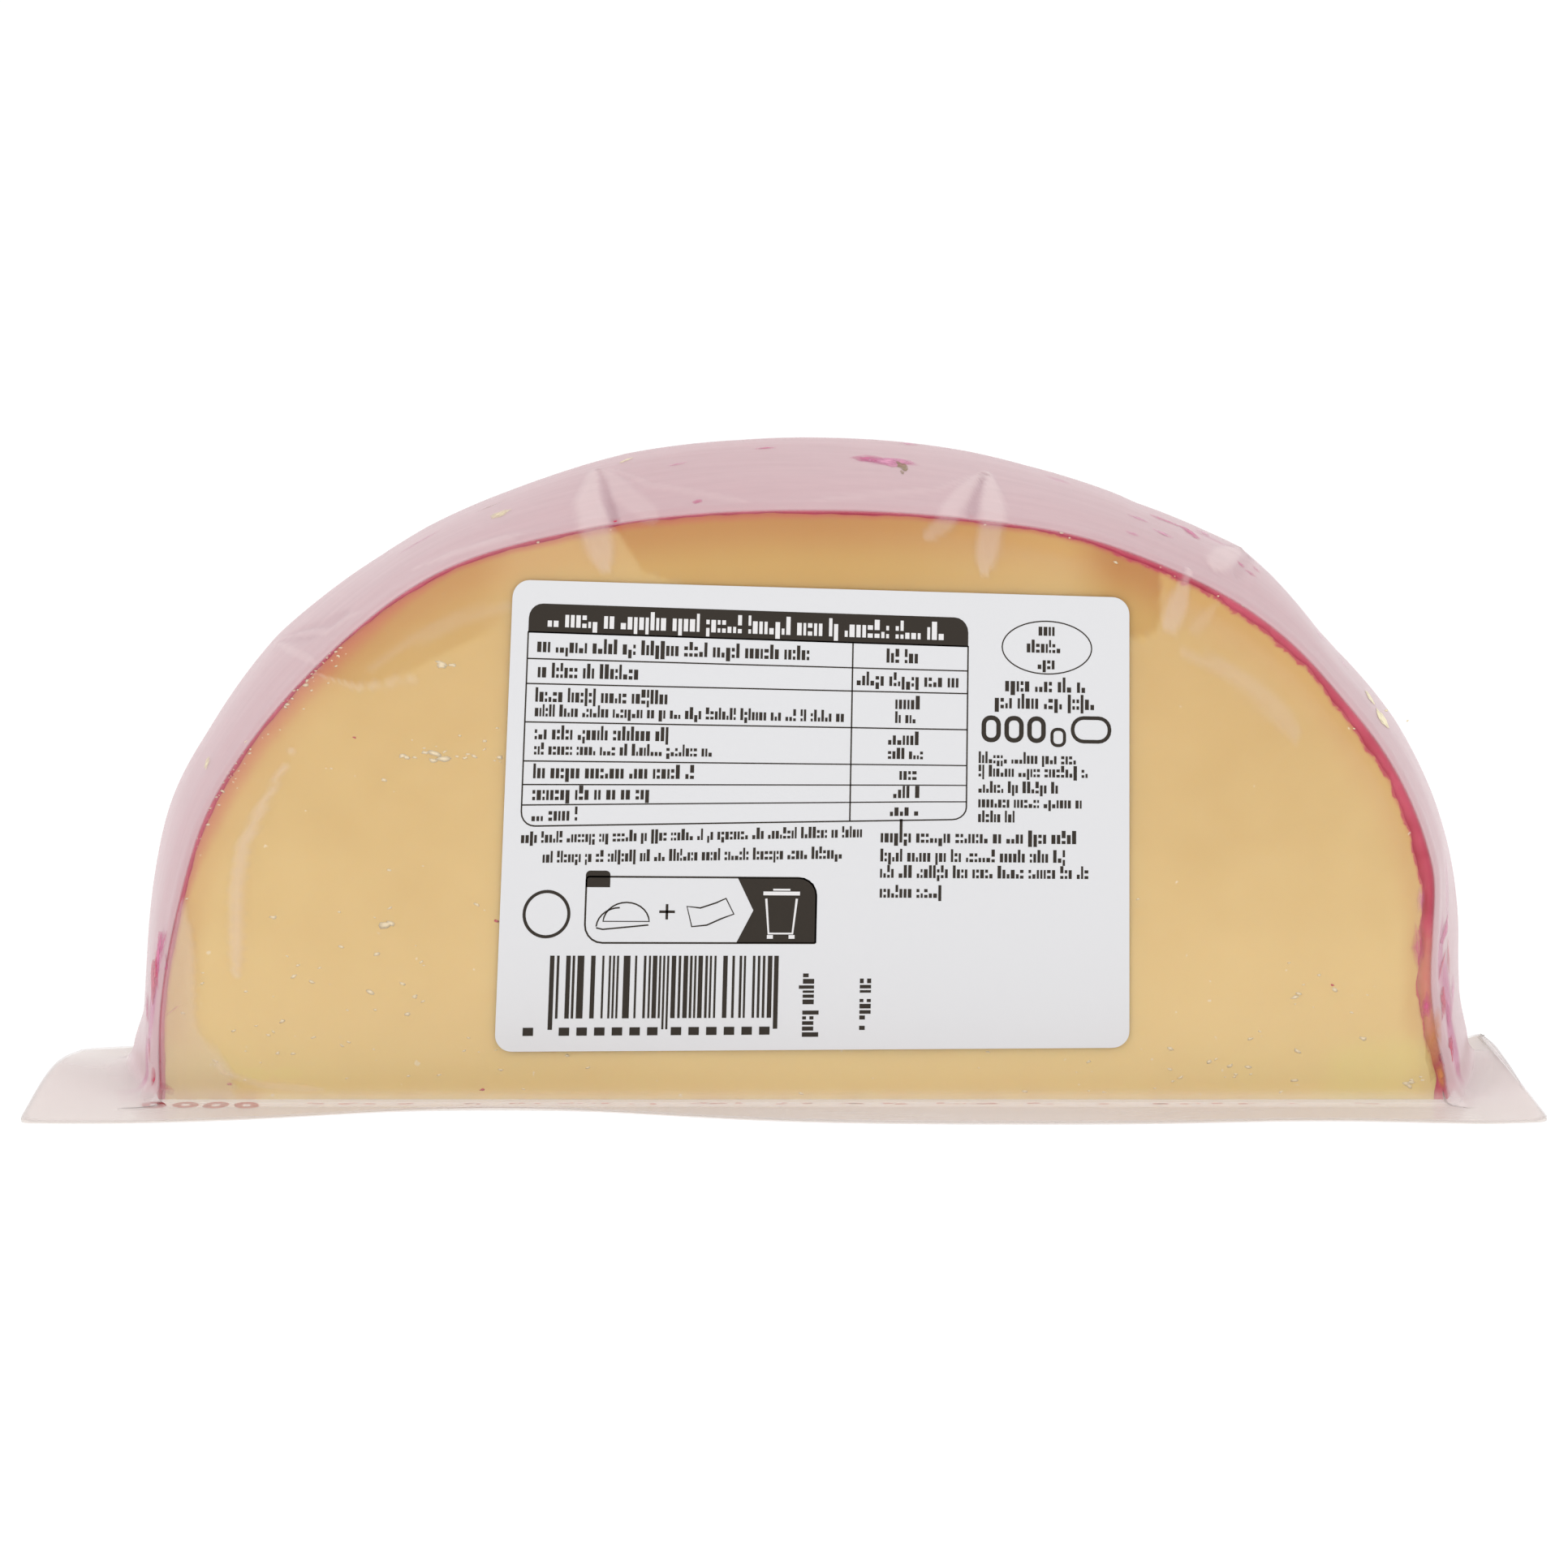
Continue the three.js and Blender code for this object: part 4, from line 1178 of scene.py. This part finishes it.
words(2.1, 48.0, 33.4, 1.05)
words(5.1, 45.8, 36.0, 1.05)

# the right-hand column: an oval, two rows, a large mass, and small rows
turns = np.linspace(0, 2 * np.pi, 49)[:-1]
stroke(np.stack([72.75 + 6.1 * np.cos(turns), 6.7 + 3.55 * np.sin(turns)], -1), 0.17, closed=True)
words(71.6, 73.9, 4.5, 1.2)
words(70.0, 75.5, 6.8, 1.2)
words(71.5, 73.9, 9.0, 1.2)
words(67.1, 78.6, 12.0, 1.4)
words(65.7, 79.8, 14.3, 1.4)
for a, b in ((63.9, 66.6), (67.0, 69.7), (70.1, 72.7)):
    stroke(rounded_box(a + 0.35, 16.3, b - 0.35, 19.3, (0.9,) * 4), 0.62, closed=True)
stroke(rounded_box(73.5, 17.7, 75.2, 19.9, (0.7,) * 4), 0.42, closed=True)
stroke(rounded_box(76.3, 16.1, 81.3, 19.3, (1.5,) * 4), 0.5, closed=True)
for b, y in ((77.0, 21.9), (78.5, 23.7), (74.6, 25.9), (77.7, 27.9), (69.0, 29.9)):
    words(63.6, b, y, 1.1)
for b, y, tall in ((76.9, 32.7, 1.25), (76.0, 35.3, 1.2), (78.5, 37.5, 1.2), (59.0, 40.2, 1.2)):
    words(50.5, b, y, tall)

# the plain ring, and the framed row of small drawings: half moon, cross, sheet and bin
stroke(np.stack([5.9 + 3.0 * np.cos(turns), 43.2 + 3.0 * np.sin(turns)], -1), 0.42, closed=True)
stroke(rounded_box(11.1, 38.2, 42.0, 47.0, (0.4, 2.4, 0.2, 2.4)), 0.24, closed=True)
put(rounded_box(11.0, 37.4, 14.3, 39.6, (0.6, 0.6, 0.01, 0.01)))
put([(31.4, 38.2), (40.4, 38.2), (41.6, 39.0), (42.1, 40.4), (42.1, 47.0), (31.4, 47.0), (33.6, 42.6)])
arc = np.linspace(np.pi * 1.02, np.pi * 1.98, 15)
half_moon = np.stack([16.6 + 3.1 * np.cos(arc), 44.3 + 2.7 * np.sin(arc)], -1)
stroke(half_moon, 0.2, closed=True)
stroke(np.stack([half_moon[:8, 0] - 0.9, half_moon[:8, 1] + 0.7], -1), 0.2)
stroke([(12.6, 45.0), (13.5, 45.2), (19.6, 44.6)], 0.2)
bar(21.0, 42.65, 23.1, 43.0)
bar(21.85, 41.8, 22.2, 43.85)
stroke([(24.7, 42.1), (26.5, 42.3), (28.6, 41.6), (29.9, 41.0),
        (31.0, 43.1), (29.4, 43.7), (27.4, 44.6), (25.4, 44.8)], 0.2, closed=True)
stroke([(34.9, 40.3), (39.8, 40.3)], 0.5, tone=0.0)
stroke([(36.2, 39.8), (38.5, 39.8)], 0.25, tone=0.0)
stroke([(35.3, 41.0), (35.7, 45.7), (38.9, 45.7), (39.4, 41.0)], 0.3, tone=0.0)
for a in (35.5, 38.4):
    bar(a, 45.9, a + 0.8, 46.4, 0.0)

# the strip of upright bars, in seeded widths, between longer end and middle pairs
x = 6.6
while x < 36.6:
    wide = print_rng.choice([0.28, 0.34, 0.6, 0.9], p=[0.4, 0.25, 0.2, 0.15])
    long_one = x < 7.3 or x > 36.0 or abs(x - 21.9) < 0.6
    bar(x, 48.7, x + wide, 58.6 if long_one else 57.1)
    x += wide + print_rng.choice([0.25, 0.33, 0.62, 0.9], p=[0.4, 0.25, 0.2, 0.15])
for x in (3.2, *np.arange(8.0, 21.0, 2.35), *np.arange(22.9, 36.0, 2.35)):
    bar(x + 0.1, 58.3, x + 1.5, 59.4)
words(51.1, 60.0, 41.2, 1.5, upright=True)
words(51.8, 59.6, 48.8, 1.5, upright=True)

ink = make_piece("sticker_print", np.concatenate(print_points), print_faces,
                 {"ink": np.concatenate(print_tones)}, merge=0.0, smooth_shaded=False)
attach(ink, "root")


def ink_material():
    """Offset ink, a warm near-black, with bare paper where the head of the table is left open."""
    material, tree, shader = new_material("dark_offset_ink", Roughness=0.55, IOR=1.25)
    tone = add_node(tree, "ShaderNodeAttribute", attribute_name="ink").outputs["Fac"]
    colour = add_node(tree, "ShaderNodeMix", {0: tone, 6: linear("#E4E2E2"), 7: linear("#352F29")},
                      data_type="RGBA")
    tree.links.new(colour.outputs[2], shader.inputs["Base Color"])
    return material


ink.data.materials.append(ink_material())

# ================================================================================================
# Crumbs
# Specks of paste and wax that the wire has dragged over the cut face, pressed flat by the film.
# They gather under the wax line and along the foot.
# ================================================================================================

# where crumbs lie in clusters on the cut face: x and z in mm, spread, how many, and mean half size
CRUMB_CLUSTERS = [
    (-44.5, 59.0, 0.6, 5, 0.35), (-51.0, 49.0, 2.2, 7, 0.26), (-46.5, 46.5, 1.0, 5, 0.38),
    (-39.0, 47.0, 3.0, 12, 0.22), (-56.0, 43.5, 3.0, 5, 0.20), (-60.0, 20.0, 7.0, 12, 0.24),
    (-52.5, 24.5, 0.5, 3, 0.50), (-49.0, 14.0, 0.6, 3, 0.48), (-66.0, 12.0, 8.0, 14, 0.20),
    (-48.0, 30.0, 6.0, 8, 0.20), (-76.5, 17.2, 1.0, 2, 0.30), (-42.0, 5.0, 6.0, 14, 0.24),
    (62.0, 8.0, 6.0, 12, 0.24), (58.0, 3.0, 4.0, 12, 0.26), (40.0, 2.6, 9.0, 16, 0.20),
    (74.0, 15.0, 3.5, 10, 0.20), (0.0, 2.5, 30.0, 26, 0.18), (-70.0, 5.0, 6.0, 10, 0.20),
    (84.5, 3.0, 1.2, 6, 0.25), (79.0, 52.0, 4.0, 4, 0.15),
]
CRUMB_SIDES = 8


def crumbs():
    """Flat flakes on the front face, each a low cone with an uneven outline, closed by a flatter
    one behind it. Some lie along the wax line at seeded distances, and the rest in clusters."""
    rng = np.random.default_rng(11)
    near_wax = np.concatenate([rng.normal(-71, 7, 46), rng.normal(-92, 5, 26), rng.uniform(-110, 60, 40)])
    station = np.interp(-near_wax, -paste_along, paste_stations)
    x, z = outline(station, FRONT_Y, 0.1 - rng.gamma(1.6, 0.55, near_wax.size))
    place, size = [np.stack([x, z], -1)], [0.05 + rng.gamma(1.5, 0.06, near_wax.size)]
    for x, z, spread, many, mean in CRUMB_CLUSTERS:
        place.append(rng.normal((x, z), (spread, spread * 0.55), (many, 2)))
        size.append(1.5 * mean * rng.uniform(0.25, 1.1, many))
    place, size = np.concatenate(place), np.concatenate(size)
    size = size[place[:, 1] > 1.0]
    place = place[place[:, 1] > 1.0]
    i = np.arange(CRUMB_SIDES)
    angle = i * np.pi / 4
    slant = rng.uniform(-0.5, 0.5, len(place))[:, None]
    reach = size[:, None] * rng.uniform(0.55, 1.25, (len(place), CRUMB_SIDES))
    p, q = 1.5 * reach * np.cos(angle), 0.75 * reach * np.sin(angle)
    x = place[:, :1] + p * np.cos(slant) - q * np.sin(slant)
    z = place[:, 1:] + p * np.sin(slant) + q * np.cos(slant)
    surface = FRONT_Y + wire_wave(place[:, :1], place[:, 1:])
    ring_points = np.stack([x, np.broadcast_to(surface - 0.03, x.shape), z], -1)
    tips = [np.stack([place[:, :1], surface + out, place[:, 1:]], -1) for out in (-0.06, 0.08)]
    points = np.concatenate([ring_points, *tips], 1)
    start = np.arange(len(place))[:, None, None] * (CRUMB_SIDES + 2)
    front_tip = np.stack([np.full_like(i, CRUMB_SIDES), i, (i + 1) % CRUMB_SIDES], -1)
    back_tip = np.stack([np.full_like(i, CRUMB_SIDES + 1), (i + 1) % CRUMB_SIDES, i], -1)
    faces = (start + np.concatenate([front_tip, back_tip])[None]).reshape(-1, 3)
    red = np.repeat(rng.random(len(place)) < 0.03, CRUMB_SIDES + 2)
    return points.reshape(-1, 3), faces, red.astype(float)


crumb_points, crumb_faces, crumb_red = crumbs()
crumb = make_piece("cheese_crumbs", crumb_points, crumb_faces, {"waxy": crumb_red}, merge=0.0)
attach(crumb, "root")


def crumb_material():
    """Crumbs of paste, pale and dry, and a few of red wax."""
    material, tree, shader = new_material("cheese_and_wax_crumbs", Roughness=0.7)
    waxy = add_node(tree, "ShaderNodeAttribute", attribute_name="waxy").outputs["Fac"]
    colour = add_node(tree, "ShaderNodeMix", {0: waxy, 6: linear("#F2E2C0"), 7: linear("#C9405A")},
                      data_type="RGBA")
    tree.links.new(colour.outputs[2], shader.inputs["Base Color"])
    return material


crumb.data.materials.append(crumb_material())

# ================================================================================================
# Floor, light and camera
# A plain paper sweep that gives off a white light of its own, a white sky and two large soft
# boxes, and a camera a hand's width above the table that looks slightly down.
# ================================================================================================

sweep_turn = np.linspace(0, np.pi / 2, 13)
sweep_bend = np.stack([1.0 + 0.8 * np.sin(sweep_turn), 0.8 - 0.8 * np.cos(sweep_turn)], -1)
sweep_line = np.concatenate([[(-3.0, 0.0)], sweep_bend, [(1.8, 3.0)]])
sweep = np.array([[(x, y, z) for x in (3.0, -3.0)] for y, z in sweep_line]) / MM
floor = make_piece("studio_sweep", sweep, grid_quads(len(sweep_line), 2))
floor_material, _, _ = new_material(
    "white_studio_paper", Base_Color=linear("#404040"), Roughness=0.9,
    Emission_Color=linear("#FFFFFF"), Emission_Strength=0.97)
floor.data.materials.append(floor_material)

scene = bpy.context.scene
world = bpy.data.worlds.new("white_sky")
world.use_nodes = True
world.node_tree.nodes["Background"].inputs["Color"].default_value = linear("#FFFFFF")
world.node_tree.nodes["Background"].inputs["Strength"].default_value = 0.92
scene.world = world


def soft_box(name, location, aim, size, power):
    """A square area light that faces a point."""
    data = bpy.data.lights.new(name, "AREA")
    data.size, data.energy = size, power
    lamp = bpy.data.objects.new(name, data)
    scene.collection.objects.link(lamp)
    lamp.location = location
    away = np.array(location) - np.array(aim)
    lamp.rotation_euler = (np.arccos(away[2] / np.linalg.norm(away)), 0, np.arctan2(away[0], -away[1]))
    return lamp


SLICE_MIDDLE = (0, 0, 0.04)
soft_box("left_box", (-0.55, -0.45, 0.55), SLICE_MIDDLE, 0.5, 1.2)
soft_box("right_box", (0.6, -0.3, 0.5), SLICE_MIDDLE, 0.4, 0.7)

CAMERA_DIP = 8.13  # degrees below level

camera = bpy.data.objects.new("camera", bpy.data.cameras.new("camera"))
scene.collection.objects.link(camera)
camera.location = (0.0, -0.491, 0.112)
camera.rotation_euler = (np.radians(90 - CAMERA_DIP), 0, 0)
camera.data.lens, camera.data.sensor_width = 84.28, 36.0
camera.data.clip_start = 0.01
scene.camera = camera
scene.view_settings.view_transform = "Standard"
